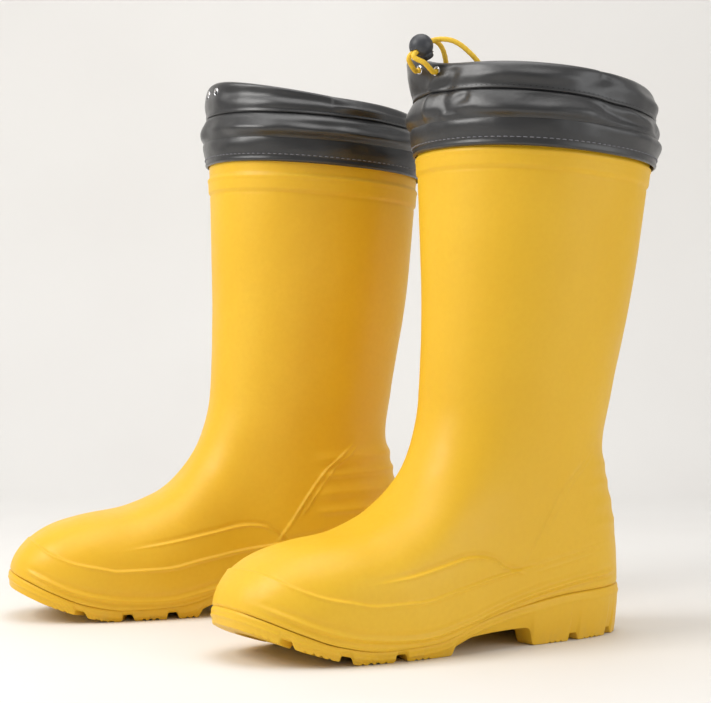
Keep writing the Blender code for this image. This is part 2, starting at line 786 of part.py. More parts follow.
def make_cylinder(name, radius, low, high, look, empty):
    """A cylinder along the lock's own Z, which runs along the plunger."""
    work = bmesh.new()
    middle = Matrix.Translation((0, 0, (low + high) / 2))
    sides = LOCK_SEGMENTS[0]
    size = {"radius1": radius, "radius2": radius, "depth": high - low}
    bmesh.ops.create_cone(work, cap_ends=True, segments=sides, matrix=middle, **size)
    return lock_object(name, work, look, empty)


def make_slot(name, width, low, high, look, empty):
    """A box right through the lock along its own Y, where the two strands pass."""
    work = bmesh.new()
    size = Matrix.Diagonal((width, 4 * LOCK_RADIUS, high - low, 1))
    bmesh.ops.create_cube(work, size=1, matrix=Matrix.Translation((0, 0, (low + high) / 2)) @ size)
    return lock_object(name, work, look, empty)


def make_lock(boot, look):
    """The spring cord lock: a ball with a bore, a plunger in it and the spring behind the plunger."""
    strand, plunger_out = lock_axes()
    empty = bpy.data.objects.new("left_lock_origin", None)
    bpy.context.collection.objects.link(empty)
    empty.parent = boot["origin"]
    across = boot_point((0, 1, 0), boot["side"])
    z_axis = boot_point(plunger_out, boot["side"])
    y_axis = boot_point(strand, boot["side"])
    turn = Matrix((across, y_axis, z_axis)).transposed()
    empty.matrix_local = Matrix.Translation(boot_point(LOCK_PLACE, boot["side"])) @ turn.to_4x4()

    slot_low = SLOT_CENTRE - SLOT_HEIGHT / 2
    slot_high = SLOT_CENTRE + SLOT_HEIGHT / 2
    window_width = SLOT_WIDTH - 2 * GAP
    work = bmesh.new()
    around, rows = LOCK_SEGMENTS
    bmesh.ops.create_uvsphere(work, u_segments=around, v_segments=rows, radius=LOCK_RADIUS)
    body = lock_object("left_lock_body", work, look["plastic"], empty)
    bore = make_cylinder("lock_bore", PLUNGER_BORE, LOCK_FLOOR, 2 * LOCK_RADIUS, look["plastic"], empty)
    slot = make_slot("lock_slot", SLOT_WIDTH, slot_low, slot_high, look["plastic"], empty)
    cut_by(body, bore)
    cut_by(body, slot)

    span = (PLUNGER_FOOT, PLUNGER_TOP)
    plunger = make_cylinder("left_lock_plunger", PLUNGER_RADIUS, *span, look["plastic"], empty)
    window_high = slot_high + PLUNGER_TRAVEL
    window = make_slot("plunger_slot", window_width, slot_low, window_high, look["plastic"], empty)
    cut_by(plunger, window)
    make_spring(look, empty)


def make_spring(look, empty):
    """The coil spring between the ball's floor and the plunger's foot."""
    turns = np.linspace(0, SPRING_COILS * 2 * math.pi, SPRING_POINTS)
    low = LOCK_FLOOR + SPRING_WIRE + GAP
    high = PLUNGER_FOOT - PLUNGER_TRAVEL - SPRING_WIRE - GAP
    curve = bpy.data.curves.new("left_lock_spring", "CURVE")
    curve.dimensions = "3D"
    curve.bevel_depth = SPRING_WIRE
    curve.bevel_resolution = 1
    curve.use_fill_caps = True
    spline = curve.splines.new("POLY")
    spline.points.add(len(turns) - 1)
    for point, turn in zip(spline.points, turns):
        height = low + (high - low) * turn / turns[-1]
        point.co = (SPRING_RADIUS * math.cos(turn), SPRING_RADIUS * math.sin(turn), height, 1)
    curve.materials.append(look["steel"])
    made = bpy.data.objects.new("left_lock_spring", curve)
    bpy.context.collection.objects.link(made)
    made.parent = empty


def make_boot(label, boot, look):
    origin = bpy.data.objects.new(f"{label}_boot_origin", None)
    bpy.context.collection.objects.link(origin)
    origin.location = (*boot["place"], 0)
    origin.rotation_euler = (0, 0, boot["side"] * TOE_OUT)
    boot["origin"] = origin
    make_shell(label, boot, look)
    make_outsole(label, boot, look)
    make_insole(label, boot, look)
    make_band(label, boot, look)
    make_sleeve(label, boot, look)
    make_casing(label, boot, look)
    make_eyelets(label, boot, look)
    band_seam = CUFFS[label]["band"][0] + BAND_SEAM_RISE
    casing_seam = CUFFS[label]["casing"][0] + CASING_SEAM_RISE
    make_thread(f"{label}_band_thread", boot, look, band_seam, BAND_SEAM_OFFSET)
    make_thread(f"{label}_casing_thread", boot, look, casing_seam, CASING_SEAM_OFFSET)


def main():
    clear_scene()
    look = make_materials()
    for label, boot in BOOTS.items():
        make_boot(label, boot, look)
    make_drawcord(BOOTS["left"], look)
    make_lock(BOOTS["left"], look)


main()
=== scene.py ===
import math

import bmesh
import bpy
import numpy as np
from mathutils import Matrix, Vector


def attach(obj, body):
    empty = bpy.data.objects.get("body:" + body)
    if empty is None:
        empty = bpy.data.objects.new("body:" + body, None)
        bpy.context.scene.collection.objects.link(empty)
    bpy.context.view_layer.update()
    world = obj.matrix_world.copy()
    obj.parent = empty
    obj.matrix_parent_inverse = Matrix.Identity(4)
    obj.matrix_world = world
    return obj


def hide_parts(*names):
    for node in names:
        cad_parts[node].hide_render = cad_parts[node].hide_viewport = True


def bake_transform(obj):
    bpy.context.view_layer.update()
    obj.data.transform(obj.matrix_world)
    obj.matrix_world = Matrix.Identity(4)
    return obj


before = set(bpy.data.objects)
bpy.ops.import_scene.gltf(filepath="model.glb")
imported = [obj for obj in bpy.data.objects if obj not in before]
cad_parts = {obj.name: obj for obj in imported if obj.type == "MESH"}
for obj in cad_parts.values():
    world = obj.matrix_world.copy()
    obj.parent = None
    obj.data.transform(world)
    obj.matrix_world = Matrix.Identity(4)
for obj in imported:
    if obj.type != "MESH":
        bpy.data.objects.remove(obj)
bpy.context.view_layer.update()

# ---------------------------------------------------------------- sizes shared with the CAD part
TOE_OUT = math.radians(8.6)
BOOTS = {
    "left": {"side": 1, "place": (0.0866, 0.1786)},
    "right": {"side": -1, "place": (-0.0866, 0.1003)},
}
CUFFS = {
    "left": {
        "band": (0.3305, 0.3480), "casing": (0.3655, 0.3850),
        "peak": 0.0115, "peak_at": -0.45, "peak_width": 0.45,
        "flare": 0.0070, "flare_width": 0.50,
    },
    "right": {
        "band": (0.3385, 0.3560), "casing": (0.3745, 0.3890),
        "peak": 0.0110, "peak_at": 0.0, "peak_width": 0.90,
        "flare": 0.0010, "flare_width": 0.45,
    },
}
SOLE_LENGTH = 0.303
HALF_WIDTH = [
    (0, 0.042), (0.05, 0.043), (0.11, 0.0455), (0.16, 0.0533), (0.205, 0.058), (0.25, 0.0564),
    (0.303, 0.052)
]
MIDLINE = [(0, 0), (0.06, 0.001), (0.13, 0.003), (0.2, 0), (0.25, -0.004), (0.303, -0.009)]
INSTEP = [
    (0, 0.115), (0.06, 0.123), (0.1, 0.13), (0.13, 0.126), (0.16, 0.112), (0.19, 0.09), (0.22, 0.079),
    (0.25, 0.075), (0.28, 0.072), (0.303, 0.067)
]
SHAFT_FRONT = [(0, 0.152), (0.078, 0.152), (0.127, 0.1515), (0.166, 0.148), (0.244, 0.1455), (0.36, 0.147)]
SHAFT_BACK = [
    (0, 0.007), (0.049, 0.0045), (0.088, 0.008), (0.127, 0.0105), (0.166, 0.005), (0.244, -0.008),
    (0.36, -0.019)
]
SHAFT_HALF = [(0, 0.0414), (0.049, 0.0424), (0.0975, 0.046), (0.146, 0.0518), (0.2145, 0.06), (0.36, 0.0785)]
SHAFT_MIDDLE = [(0, 0.001), (0.117, 0.001), (0.2145, 0.0052), (0.36, 0.0097)]
WIDEST_HEIGHT = 0.029
TOE_ROUND_START = 0.222
HEEL_ROUND_START = 0.05
HEEL_BACK = 0.003
FOOT_SCALE = 0.055
SHAFT_SCALE = 0.065
BLEND = 0.03
PARTING = [
    (0, 0.0345), (0.063, 0.033), (0.102, 0.0286), (0.14, 0.0214), (0.183, 0.0095), (0.221, 0.0082),
    (0.253, 0.0135), (0.273, 0.021), (0.295, 0.031), (0.303, 0.035)
]
SOLE_BASE = [
    (0, 0.0058), (0.02, 0.005), (0.085, 0.005), (0.105, 0.0125), (0.15, 0.011), (0.17, 0.005),
    (0.235, 0.005), (0.276, 0.016), (0.303, 0.027)
]
TREAD = [(0, 0.0012), (0.015, 0), (0.235, 0), (0.25, 0.0032), (0.276, 0.0115), (0.303, 0.0235)]
RINGS = np.array([
    (0.00, 0.0345, 0.0080, 0.0335, 0.235, 0.045),
    (0.06, 0.0450, 0.0220, 0.0420, 0.235, 0.045),
    (0.12, 0.0580, 0.0400, 0.0530, 0.235, 0.045),
    (0.18, 0.0690, 0.0540, 0.0610, 0.225, 0.045),
    (0.26, 0.0790, 0.0670, 0.0680, 0.200, 0.045),
    (0.36, 0.0920, 0.0880, 0.0910, 0.150, 0.050),
    (0.46, 0.1080, 0.1220, 0.1320, 0.110, 0.058),
    (0.58, 0.1380, 0.1710, 0.1860, 0.085, 0.070),
    (0.72, 0.1860, 0.2100, 0.2230, 0.078, 0.074),
    (1.00, 0.3465, 0.3465, 0.3465, 0.070, 0.070),
])
BALL = 0.2
TOE = 0.3
SOLE_STEPS = 0.3
WALL = 0.0045
FOOT_WALL = 0.006
FLOOR_STEP = 0.07
GAP = 0.0003
RIM = 0.3465
TILT = 0.0667
TILT_CENTRE = 0.065
FABRIC = 0.0012
HEM_ROUND = 0.002
CASING_SPAN = 0.018
# How far the cuff droops at its back, as (seam, back corner of the top), and where the seam stays level
CUFF_DROOP = {"left": (0.0068, 0.0060), "right": (0.0010, 0.0045)}
DROOP_PIVOT = 0.35
EYELET_BEARING = 0.12
EYELET_DROP = 0.0052
EYELET_STEP = 0.01
EYELET_RISE = 0.001
CORD_RADIUS = 0.0018
CORD_SETBACK = FABRIC + 0.0034
CORD_ABOVE_CASING = 0.0095
CORD_RING_POINTS = 13
CORD_CORNER = 0.11
LOCK_PLACE = (0.1600, 0.0065, 0.4038)
LOCK_RADIUS = 0.0082
LOCK_PITCH = math.radians(33)
STRAND_SPACING = 0.00205
SLOT_CENTRE = 0.0012
SLOT_WIDTH = 0.0084
SLOT_HEIGHT = 0.0042
PLUNGER_RADIUS = 0.0050
PLUNGER_BORE = 0.0053
PLUNGER_TRAVEL = 0.002
LOCK_FLOOR = -0.0054
PLUNGER_FOOT = -0.0019
PLUNGER_TOP = 0.0100
OUTER_BEND = [(-0.0078, 0.0100, 0.0062), (-0.0100, 0.0060, 0.0046), (-0.0112, 0.0030, 0.0028)]
INNER_BEND = [(-0.0078, 0.0100, -0.0090), (-0.0100, 0.0060, -0.0060), (-0.0112, 0.0030, -0.0034)]
EYELET_RUN = (0.0022, 0.0042)
SLOT_MOUTH = 0.0085
SLOT_EXIT = 0.0105
OUTER_TAIL = [
    (0.1440, 0.0085, 0.4085), (0.1385, 0.0125, 0.4060), (0.1330, 0.0160, 0.4010), (0.1270, 0.0200, 0.3930),
    (0.1235, 0.0215, 0.3830), (0.1215, 0.0225, 0.3700), (0.1210, 0.0225, 0.3580),
]
INNER_TAIL = [
    (0.1450, -0.0020, 0.4080), (0.1405, -0.0020, 0.4035), (0.1375, -0.0025, 0.3950),
    (0.1360, -0.0030, 0.3840), (0.1352, -0.0035, 0.3710), (0.1350, -0.0035, 0.3600),
]

# ---------------------------------------------------------------- moulded relief: (distance forward, height)
UPPER_BEAD = [
    (0, 0.0440), (0.033, 0.0434), (0.094, 0.036), (0.137, 0.0264), (0.155, 0.022), (0.197, 0.0151),
    (0.213, 0.0155), (0.241, 0.0185), (0.262, 0.024), (0.280, 0.0316), (0.303, 0.042)
]
RAND = [
    (0, 0.069), (0.055, 0.061), (0.092, 0.055), (0.113, 0.0522), (0.132, 0.0497), (0.162, 0.0444),
    (0.197, 0.0383), (0.228, 0.0378), (0.245, 0.0407), (0.261, 0.044), (0.278, 0.051), (0.290, 0.059),
    (0.303, 0.063)
]
OUTER_WING = [
    (0.105, 0.049), (0.122, 0.0535), (0.133, 0.060), (0.140, 0.0620), (0.154, 0.0630),
    (0.175, 0.0590), (0.202, 0.0536), (0.235, 0.0500)
]
INNER_WING = [
    (0.098, 0.054), (0.103, 0.0575), (0.109, 0.0622), (0.117, 0.0662), (0.129, 0.0675),
    (0.158, 0.0626), (0.194, 0.056), (0.230, 0.0515)
]
HEEL_RIBS = ((0.1190, 0.0042), (0.1065, 0.0030), (0.0925, 0.0042), (0.0790, 0.0034))
OUTER_NOTCHES = (0.2825, 0.247, 0.208, 0.060, 0.022)
INNER_NOTCHES = (0.257, 0.222, 0.188, 0.060, 0.022)
ARCH = (0.098, 0.166)
GROOVE_HEIGHT = 0.3160
LIP_HEIGHT = 0.3275

AROUND = 480
SHELL_ROWS = 430
CAVITY_ROWS = 60
SOLE_AROUND = 960
SIDE_ROWS = 22
TREAD_ROWS = 58
CUFF_AROUND = 480


# ---------------------------------------------------------------- body surface
def smooth(table, at):
    """A monotone cubic curve through the table's points."""
    xs, ys = np.array(table, float).T
    step = np.diff(xs)
    rise = np.diff(ys) / step
    slope = np.zeros(len(xs))
    slope[0] = rise[0]
    slope[-1] = rise[-1]
    for i in range(1, len(xs) - 1):
        if rise[i - 1] * rise[i] > 0:
            before = 2 * step[i] + step[i - 1]
            after = step[i] + 2 * step[i - 1]
            slope[i] = (before + after) / (before / rise[i - 1] + after / rise[i])
    at = np.clip(at, xs[0], xs[-1])
    i = np.clip(np.searchsorted(xs, at) - 1, 0, len(step) - 1)
    t = (at - xs[i]) / step[i]
    ends = (1 + 2 * t) * (1 - t) ** 2 * ys[i] + t * t * (3 - 2 * t) * ys[i + 1]
    bends = t * (1 - t) ** 2 * slope[i] + t * t * (t - 1) * slope[i + 1]
    return ends + step[i] * bends


def foot_distance(f, s, z):
    toe = np.maximum(0, (f - TOE_ROUND_START) / (SOLE_LENGTH - TOE_ROUND_START)) ** 2.5
    heel = np.maximum(0, (HEEL_ROUND_START - f) / (HEEL_ROUND_START - HEEL_BACK)) ** 2.3
    lean = 1 - 0.1 * np.clip((WIDEST_HEIGHT - z) / WIDEST_HEIGHT, 0, 1) ** 2
    across = np.abs((s - smooth(MIDLINE, f)) / (smooth(HALF_WIDTH, f) * lean)) ** 2.6
    up = (np.maximum(0, z - WIDEST_HEIGHT) / (smooth(INSTEP, f) - WIDEST_HEIGHT)) ** 2.5
    return ((toe + heel + across + up) ** (1 / 2.4) - 1) * FOOT_SCALE


def shaft_distance(f, s, z):
    front = smooth(SHAFT_FRONT, z)
    back = smooth(SHAFT_BACK, z)
    along = np.abs((f - (front + back) / 2) / ((front - back) / 2)) ** 2.25
    across = np.abs((s - smooth(SHAFT_MIDDLE, z)) / smooth(SHAFT_HALF, z)) ** 2.15
    return ((along + across) ** (1 / 2.2) - 1) * SHAFT_SCALE


def body_distance(f, s, z):
    foot = foot_distance(f, s, z)
    shaft = shaft_distance(f, s, z)
    share = np.clip(0.5 + 0.5 * (shaft - foot) / BLEND, 0, 1)
    return shaft * (1 - share) + foot * share - BLEND * share * (1 - share)


def outward(points):
    reach = 0.0005
    f, s, z = np.moveaxis(points, -1, 0)
    slopes = [
        body_distance(f + reach, s, z) - body_distance(f - reach, s, z),
        body_distance(f, s + reach, z) - body_distance(f, s - reach, z),
        body_distance(f, s, z + reach) - body_distance(f, s, z - reach),
    ]
    normal = np.stack(slopes, -1)
    return normal / np.linalg.norm(normal, axis=-1, keepdims=True)


def through(low, middle, high, f):
    at_heel = low * (f - BALL) * (f - TOE) / (BALL * TOE)
    at_ball = middle * f * (f - TOE) / (BALL * (BALL - TOE))
    at_toe = high * f * (f - BALL) / (TOE * (TOE - BALL))
    return at_heel + at_ball + at_toe


def ring_height(step, f):
    heel, ball, toe = (smooth(RINGS[:, [0, k]], step) for k in (1, 2, 3))
    bend = np.maximum(0, 1 - step / SOLE_STEPS)
    rim_tilt = np.clip((step - 0.8) / 0.2, 0, 1) ** 2 * tilt(f)
    return through(heel, ball, toe, f) + bend * (smooth(PARTING, f) - through(*RINGS[0, 1:4], f)) + rim_tilt


def tilt(f):
    return TILT * (f - TILT_CENTRE)


def rays(step, turn):
    front, back = (smooth(RINGS[:, [0, k]], step) for k in (4, 5))
    along = np.cos(turn) * np.abs(np.cos(turn)) ** 0.6
    across = np.sin(turn)
    long = np.hypot(along, across)
    lean = 0.5 + 0.5 * np.sign(np.cos(turn)) * np.abs(np.cos(turn)) ** 0.55
    f0 = back + (front - back) * lean
    s0 = smooth(MIDLINE, f0) * (1 - np.minimum(1, 1.5 * step))
    return f0, s0, along / long, across / long


def surface(step, turn, level=None):
    """Points of the body surface: step and turn are arrays of one shape."""
    f0, s0, along, across = rays(step, turn)
    level = level or (lambda f: ring_height(step, f))
    near = np.zeros(np.shape(turn))
    far = np.full(np.shape(turn), 0.2)
    for _ in range(26):
        reach = (near + far) / 2
        f = f0 + reach * along
        inside = body_distance(f, s0 + reach * across, level(f)) < 0
        near = np.where(inside, reach, near)
        far = np.where(inside, far, reach)
    f = f0 + near * along
    return np.stack([f, s0 + near * across, level(f)], -1)


def even_turns(step, count):
    """Bearings that space a ring's points evenly."""
    x = np.linspace(1, -1, 1600)
    bunched = np.arccos(np.sign(x) * np.abs(x) ** (1 / 0.55))
    half = np.unique(np.concatenate([bunched, np.linspace(0, math.pi, 900)]))
    turn = np.concatenate([half, 2 * math.pi - half[-2::-1]])
    points = surface(np.full(turn.shape, float(step)), turn)
    long = np.concatenate([[0], np.cumsum(np.linalg.norm(np.diff(points, axis=0), axis=1))])
    return np.interp(np.arange(count) / count, long / long[-1], turn)


def turn_table(steps, count):
    known = np.array([0, 0.06, 0.12, 0.18, 0.24, 0.3, 0.36, 0.42, 0.5, 0.6, 0.75, 1.0])
    rows = np.stack([even_turns(k, count) for k in known])
    i = np.clip(np.searchsorted(known, steps) - 1, 0, len(known) - 2)
    t = ((steps - known[i]) / (known[i + 1] - known[i]))[:, None]
    return rows[i] * (1 - t) + rows[i + 1] * t


def waves(points, scale, seed, count=14):
    """Soft deterministic noise near -1..1, made of plane waves about scale metres long."""
    draw = np.random.default_rng(seed)
    axes = draw.normal(size=(count, 3))
    axes /= np.linalg.norm(axes, axis=1, keepdims=True)
    sizes = scale * draw.uniform(0.7, 1.6, count)
    phases = draw.uniform(0, 2 * math.pi, count)
    total = sum(np.sin(2 * math.pi * (points @ a) / w + p) for a, w, p in zip(axes, sizes, phases))
    return total / math.sqrt(count / 2) / 2


def bead(x, width):
    return np.exp(-((x / width) ** 2))


def ledge(x, width):
    return 0.5 * (1 + np.tanh(x / width))


# ---------------------------------------------------------------- building meshes
def to_world(points, label):
    side = BOOTS[label]["side"]
    px, py = BOOTS[label]["place"]
    turn = side * TOE_OUT
    f, s, z = np.moveaxis(np.asarray(points, float), -1, 0)
    x = px + math.cos(turn) * side * s + math.sin(turn) * f
    y = py + math.sin(turn) * side * s - math.cos(turn) * f
    return np.stack([x, y, z], -1)


def new_object(name, points, faces, look, label=None, smooth_faces=True, uv=None):
    """A mesh object from points in a boot's frame, or in the row frame when no boot is named."""
    flip = label is not None and BOOTS[label]["side"] < 0
    points = to_world(points, label) if label else np.asarray(points, float)
    mesh = bpy.data.meshes.new(name)
    faces = [tuple(face)[::-1] for face in faces] if flip else [tuple(face) for face in faces]
    mesh.from_pydata(points.reshape(-1, 3).tolist(), [], faces)
    if uv is not None:
        index = np.zeros(len(mesh.loops), np.int32)
        mesh.loops.foreach_get("vertex_index", index)
        layer = mesh.uv_layers.new(name="UVMap")
        layer.data.foreach_set("uv", np.asarray(uv, np.float32)[index].ravel())
    mesh.polygons.foreach_set("use_smooth", np.full(len(mesh.polygons), smooth_faces))
    mesh.materials.append(look)
    made = bpy.data.objects.new(name, mesh)
    bpy.context.scene.collection.objects.link(made)
    return made


def hoop_faces(rows, count, start=0, last_joins_first=False):
    """Quads joining rows of points that close round the boot."""
    a = np.arange(rows if last_joins_first else rows - 1)[:, None]
    i = np.arange(count)[None, :]
    b = (a + 1) % rows
    j = (i + 1) % count
    faces = np.stack([a * count + i, a * count + j, b * count + j, b * count + i], -1)
    return (start + faces.reshape(-1, 4)).tolist()


def cap(first, count, up):
    half = count // 2
    faces = [(first + k, first + k + 1, first + count - k - 1, first + count - k) for k in range(1, half - 1)]
    faces += [(first, first + 1, first + count - 1), (first + half - 1, first + half, first + half + 1)]
    return [face[::-1] for face in faces] if up else faces


def outward_faces(obj):
    work = bmesh.new()
    work.from_mesh(obj.data)
    bmesh.ops.recalc_face_normals(work, faces=work.faces)
    work.to_mesh(obj.data)
    work.free()
    return obj


# ---------------------------------------------------------------- materials
class Nodes:
    """Short names for building a material's node tree."""

    def __init__(self, name):
        self.look = bpy.data.materials.new(name)
        self.look.use_nodes = True
        self.tree = self.look.node_tree
        self.shader = self.tree.nodes["Principled BSDF"]

    def add(self, kind, **values):
        node = self.tree.nodes.new(kind)
        for key, value in values.items():
            if key in node.inputs:
                node.inputs[key].default_value = value
            else:
                setattr(node, key, value)
        return node

    def link(self, source, target):
        self.tree.links.new(source, target)

    def noise(self, where, scale, detail=4.0, roughness=0.55):
        node = self.add("ShaderNodeTexNoise", Scale=scale, Detail=detail, Roughness=roughness)
        self.link(where, node.inputs["Vector"])
        return node.outputs["Fac"]

    def ramp(self, value, low, high, dark, light):
        node = self.add("ShaderNodeMapRange")
        self.link(value, node.inputs["Value"])
        for key, number in (("From Min", low), ("From Max", high), ("To Min", dark), ("To Max", light)):
            node.inputs[key].default_value = number
        return node.outputs["Result"]

    def mix(self, share, first, second):
        node = self.add("ShaderNodeMix", data_type="RGBA")
        sockets = [s for s in node.inputs if s.type == "RGBA"]
        self.link(share, node.inputs["Factor"])
        for socket, value in zip(sockets, (first, second)):
            if isinstance(value, tuple):
                socket.default_value = (*value, 1)
            else:
                self.link(value, socket)
        return next(s for s in node.outputs if s.type == "RGBA")

    def bump(self, height, strength, distance, normal=None):
        node = self.add("ShaderNodeBump", Strength=strength, Distance=distance)
        self.link(height, node.inputs["Height"])
        if normal is not None:
            self.link(normal, node.inputs["Normal"])
        return node.outputs["Normal"]

    def where(self, kind="Object"):
        return self.add("ShaderNodeTexCoord").outputs[kind]


def eva_material():
    """Moulded EVA foam: satin yellow with a fine pebbled skin and slight handling marks."""
    n = Nodes("eva_yellow_moulded")
    at = n.where()
    cloudy = n.noise(at, 9.0, 3.0)
    fine = n.noise(at, 260.0, 5.0)
    colour = n.mix(n.ramp(cloudy, 0.3, 0.7, 0.0, 1.0), (0.80, 0.468, 0.017), (0.84, 0.510, 0.025))
    colour = n.mix(n.ramp(fine, 0.35, 0.75, 0.0, 0.35), colour, (0.76, 0.425, 0.014))
    # darker brown in noisy patches, strongest at the floor and fading out 12 mm above it, on the sole's lower
    # edge
    low = n.add("ShaderNodeSeparateXYZ")
    n.link(at, low.inputs[0])
    darkening_near_floor = n.add("ShaderNodeMath", operation="MULTIPLY")
    n.link(n.ramp(low.outputs["Z"], 0.0, 0.012, 0.35, 0.0), darkening_near_floor.inputs[0])
    n.link(n.ramp(n.noise(at, 120.0, 6.0), 0.45, 0.7, 0.0, 1.0), darkening_near_floor.inputs[1])
    colour = n.mix(darkening_near_floor.outputs[0], colour, (0.55, 0.36, 0.10))
    n.link(colour, n.shader.inputs["Base Color"])
    marks = n.noise(at, 42.0, 6.0, 0.7)
    n.link(n.ramp(marks, 0.35, 0.75, 0.40, 0.54), n.shader.inputs["Roughness"])
    skin = n.bump(n.noise(at, 1400.0, 3.0), 0.25, 0.0003)
    n.link(n.bump(n.noise(at, 75.0, 4.0), 0.12, 0.0012, skin), n.shader.inputs["Normal"])
    n.shader.inputs["Subsurface Weight"].default_value = 0.12
    n.shader.inputs["Subsurface Scale"].default_value = 0.004
    n.shader.inputs["Subsurface Radius"].default_value = (1.0, 0.55, 0.15)
    n.shader.inputs["Specular IOR Level"].default_value = 0.42
    return n.look


def fabric_material(name, colour, roughness):
    """Coated woven nylon: near-black satin film over a fine weave, with small creases."""
    n = Nodes(name)
    at = n.where()
    uv = n.where("UV")
    tone = n.noise(at, 30.0, 5.0)
    lighter = tuple(min(1, c * 1.7 + 0.004) for c in colour)
    n.link(n.mix(n.ramp(tone, 0.35, 0.7, 0.0, 0.7), colour, lighter), n.shader.inputs["Base Color"])
    n.link(
        n.ramp(n.noise(at, 65.0, 5.0), 0.3, 0.7, roughness - 0.05, roughness + 0.09),
        n.shader.inputs["Roughness"]
    )
    warp = n.add("ShaderNodeTexWave", bands_direction="X", Scale=520.0, Distortion=0.4)
    weft = n.add("ShaderNodeTexWave", bands_direction="Y", Scale=520.0, Distortion=0.4)
    weave = n.add("ShaderNodeMath", operation="MULTIPLY")
    for wave, socket in ((warp, 0), (weft, 1)):
        n.link(uv, wave.inputs["Vector"])
        n.link(wave.outputs["Fac"], weave.inputs[socket])
    threads = n.bump(weave.outputs[0], 0.18, 0.0002)
    creases = n.bump(n.noise(at, 150.0, 5.0, 0.6), 0.22, 0.0008, threads)
    n.link(n.bump(n.noise(at, 38.0, 3.0), 0.25, 0.003, creases), n.shader.inputs["Normal"])
    n.shader.inputs["Sheen Weight"].default_value = 0.05
    n.shader.inputs["Sheen Roughness"].default_value = 0.4
    n.shader.inputs["Coat Weight"].default_value = 0.65
    n.shader.inputs["Coat Roughness"].default_value = 0.42
    return n.look


def plain_material(name, dark, light, roughness, metallic=0.0, scale=300.0, bump=0.15, depth=0.0002):
    """A material with mottled colour, uneven roughness and a fine bump."""
    n = Nodes(name)
    at = n.where()
    grain = n.noise(at, scale, 5.0)
    n.link(n.mix(n.ramp(grain, 0.3, 0.7, 0.0, 1.0), dark, light), n.shader.inputs["Base Color"])
    n.link(
        n.ramp(n.noise(at, scale / 3, 4.0), 0.3, 0.7, roughness - 0.06, roughness + 0.08),
        n.shader.inputs["Roughness"]
    )
    n.link(n.bump(grain, bump, depth), n.shader.inputs["Normal"])
    n.shader.inputs["Metallic"].default_value = metallic
    return n.look


def make_materials():
    return {
        "eva": eva_material(),
        "fabric": fabric_material("coated_fabric_black", (0.0065, 0.0065, 0.0072), 0.33),
        "cord": plain_material(
            "cord_yellow_braid", (0.80, 0.47, 0.02), (0.92, 0.62, 0.05), 0.55, scale=900.0, bump=0.3
        ),
        "plastic": plain_material("lock_plastic_dark_grey", (0.035, 0.038, 0.045), (0.05, 0.053, 0.06), 0.42),
        "black": plain_material("plunger_plastic_black", (0.008, 0.008, 0.009), (0.014, 0.014, 0.016), 0.38),
        "metal": plain_material(
            "eyelet_nickel", (0.62, 0.62, 0.63), (0.74, 0.74, 0.75), 0.26, 1.0, 500.0, 0.08
        ),
        "steel": plain_material(
            "spring_wire_steel", (0.48, 0.48, 0.50), (0.58, 0.58, 0.60), 0.3, 1.0, 500.0, 0.08
        ),
        "thread": plain_material(
            "thread_grey", (0.13, 0.13, 0.15), (0.26, 0.26, 0.29), 0.6, scale=1500.0, bump=0.4
        ),
        "dark_thread": plain_material(
            "thread_black", (0.004, 0.004, 0.005), (0.012, 0.012, 0.014), 0.7, scale=1500.0, bump=0.4
        ),
        "foam": plain_material(
            "insole_foam_grey", (0.07, 0.07, 0.08), (0.12, 0.12, 0.13), 0.85, scale=700.0, bump=0.5,
            depth=0.0006
        ),
    }


# ---------------------------------------------------------------- camera
def make_camera():
    data = bpy.data.cameras.new("camera")
    data.lens = 36 * 1760 / 711
    data.sensor_width = 36
    data.sensor_fit = "HORIZONTAL"
    camera = bpy.data.objects.new("camera", data)
    camera.location = (1.1770, -0.5122, 0.198)
    aim = Vector((-0.9094, 0.4160, 0.0))
    camera.rotation_euler = aim.to_track_quat("-Z", "Y").to_euler()
    bpy.context.scene.collection.objects.link(camera)
    bpy.context.scene.camera = camera


# ---------------------------------------------------------------- cuff base lines
def cuff_base(turn):
    """Points and horizontal outward directions of the shaft's top ring."""
    turn = np.asarray(turn, float)
    base = surface(np.ones(turn.shape), turn, lambda f: 0 * f + RIM + tilt(f))
    normal = outward(base) * [1, 1, 0]
    return base, normal / np.linalg.norm(normal, axis=-1, keepdims=True)


def wrapped(turn):
    return (np.asarray(turn) + math.pi) % (2 * math.pi) - math.pi


def front_bulge(cuff, size, width, turn):
    return size * np.exp(-((wrapped(turn - cuff["peak_at"]) / width) ** 2))


def peak(cuff, turn):
    return front_bulge(cuff, cuff["peak"], cuff["peak_width"], turn)


def flare(cuff, turn):
    return front_bulge(cuff, cuff["flare"], cuff["flare_width"], turn)


def cuff_point(height, offset, turn, rise=0):
    base, normal = cuff_base(turn)
    made = base + np.reshape(offset, (-1, 1)) * normal
    made[..., 2] = height + rise + tilt(base[..., 0])
    return made


def casing_point(cuff, height, offset, turn):
    low, top = cuff["casing"]
    share = (height - low) / (top - HEM_ROUND - low)
    return cuff_point(height, offset + share * flare(cuff, turn), turn, share * peak(cuff, turn))


def eyelet_frame(label, turn):
    cuff = CUFFS[label]
    turns = np.array([turn, turn + EYELET_STEP])
    height = cuff["casing"][1] - EYELET_DROP
    centre, beside = casing_point(cuff, height, 0, turns)
    above = casing_point(cuff, height + EYELET_RISE, 0, turns)[0]
    normal = np.cross(beside - centre, above - centre)
    return centre, normal / np.linalg.norm(normal)


# ---------------------------------------------------------------- drawcord
def halved(route):
    padded = np.concatenate([[2 * route[0] - route[1]], route, [2 * route[-1] - route[-2]]])
    made = []
    for before, start, end, after in zip(padded, padded[1:], padded[2:], padded[3:]):
        made += [start, (9 * (start + end) - before - after) / 16]
    return np.array([*made, route[-1]])


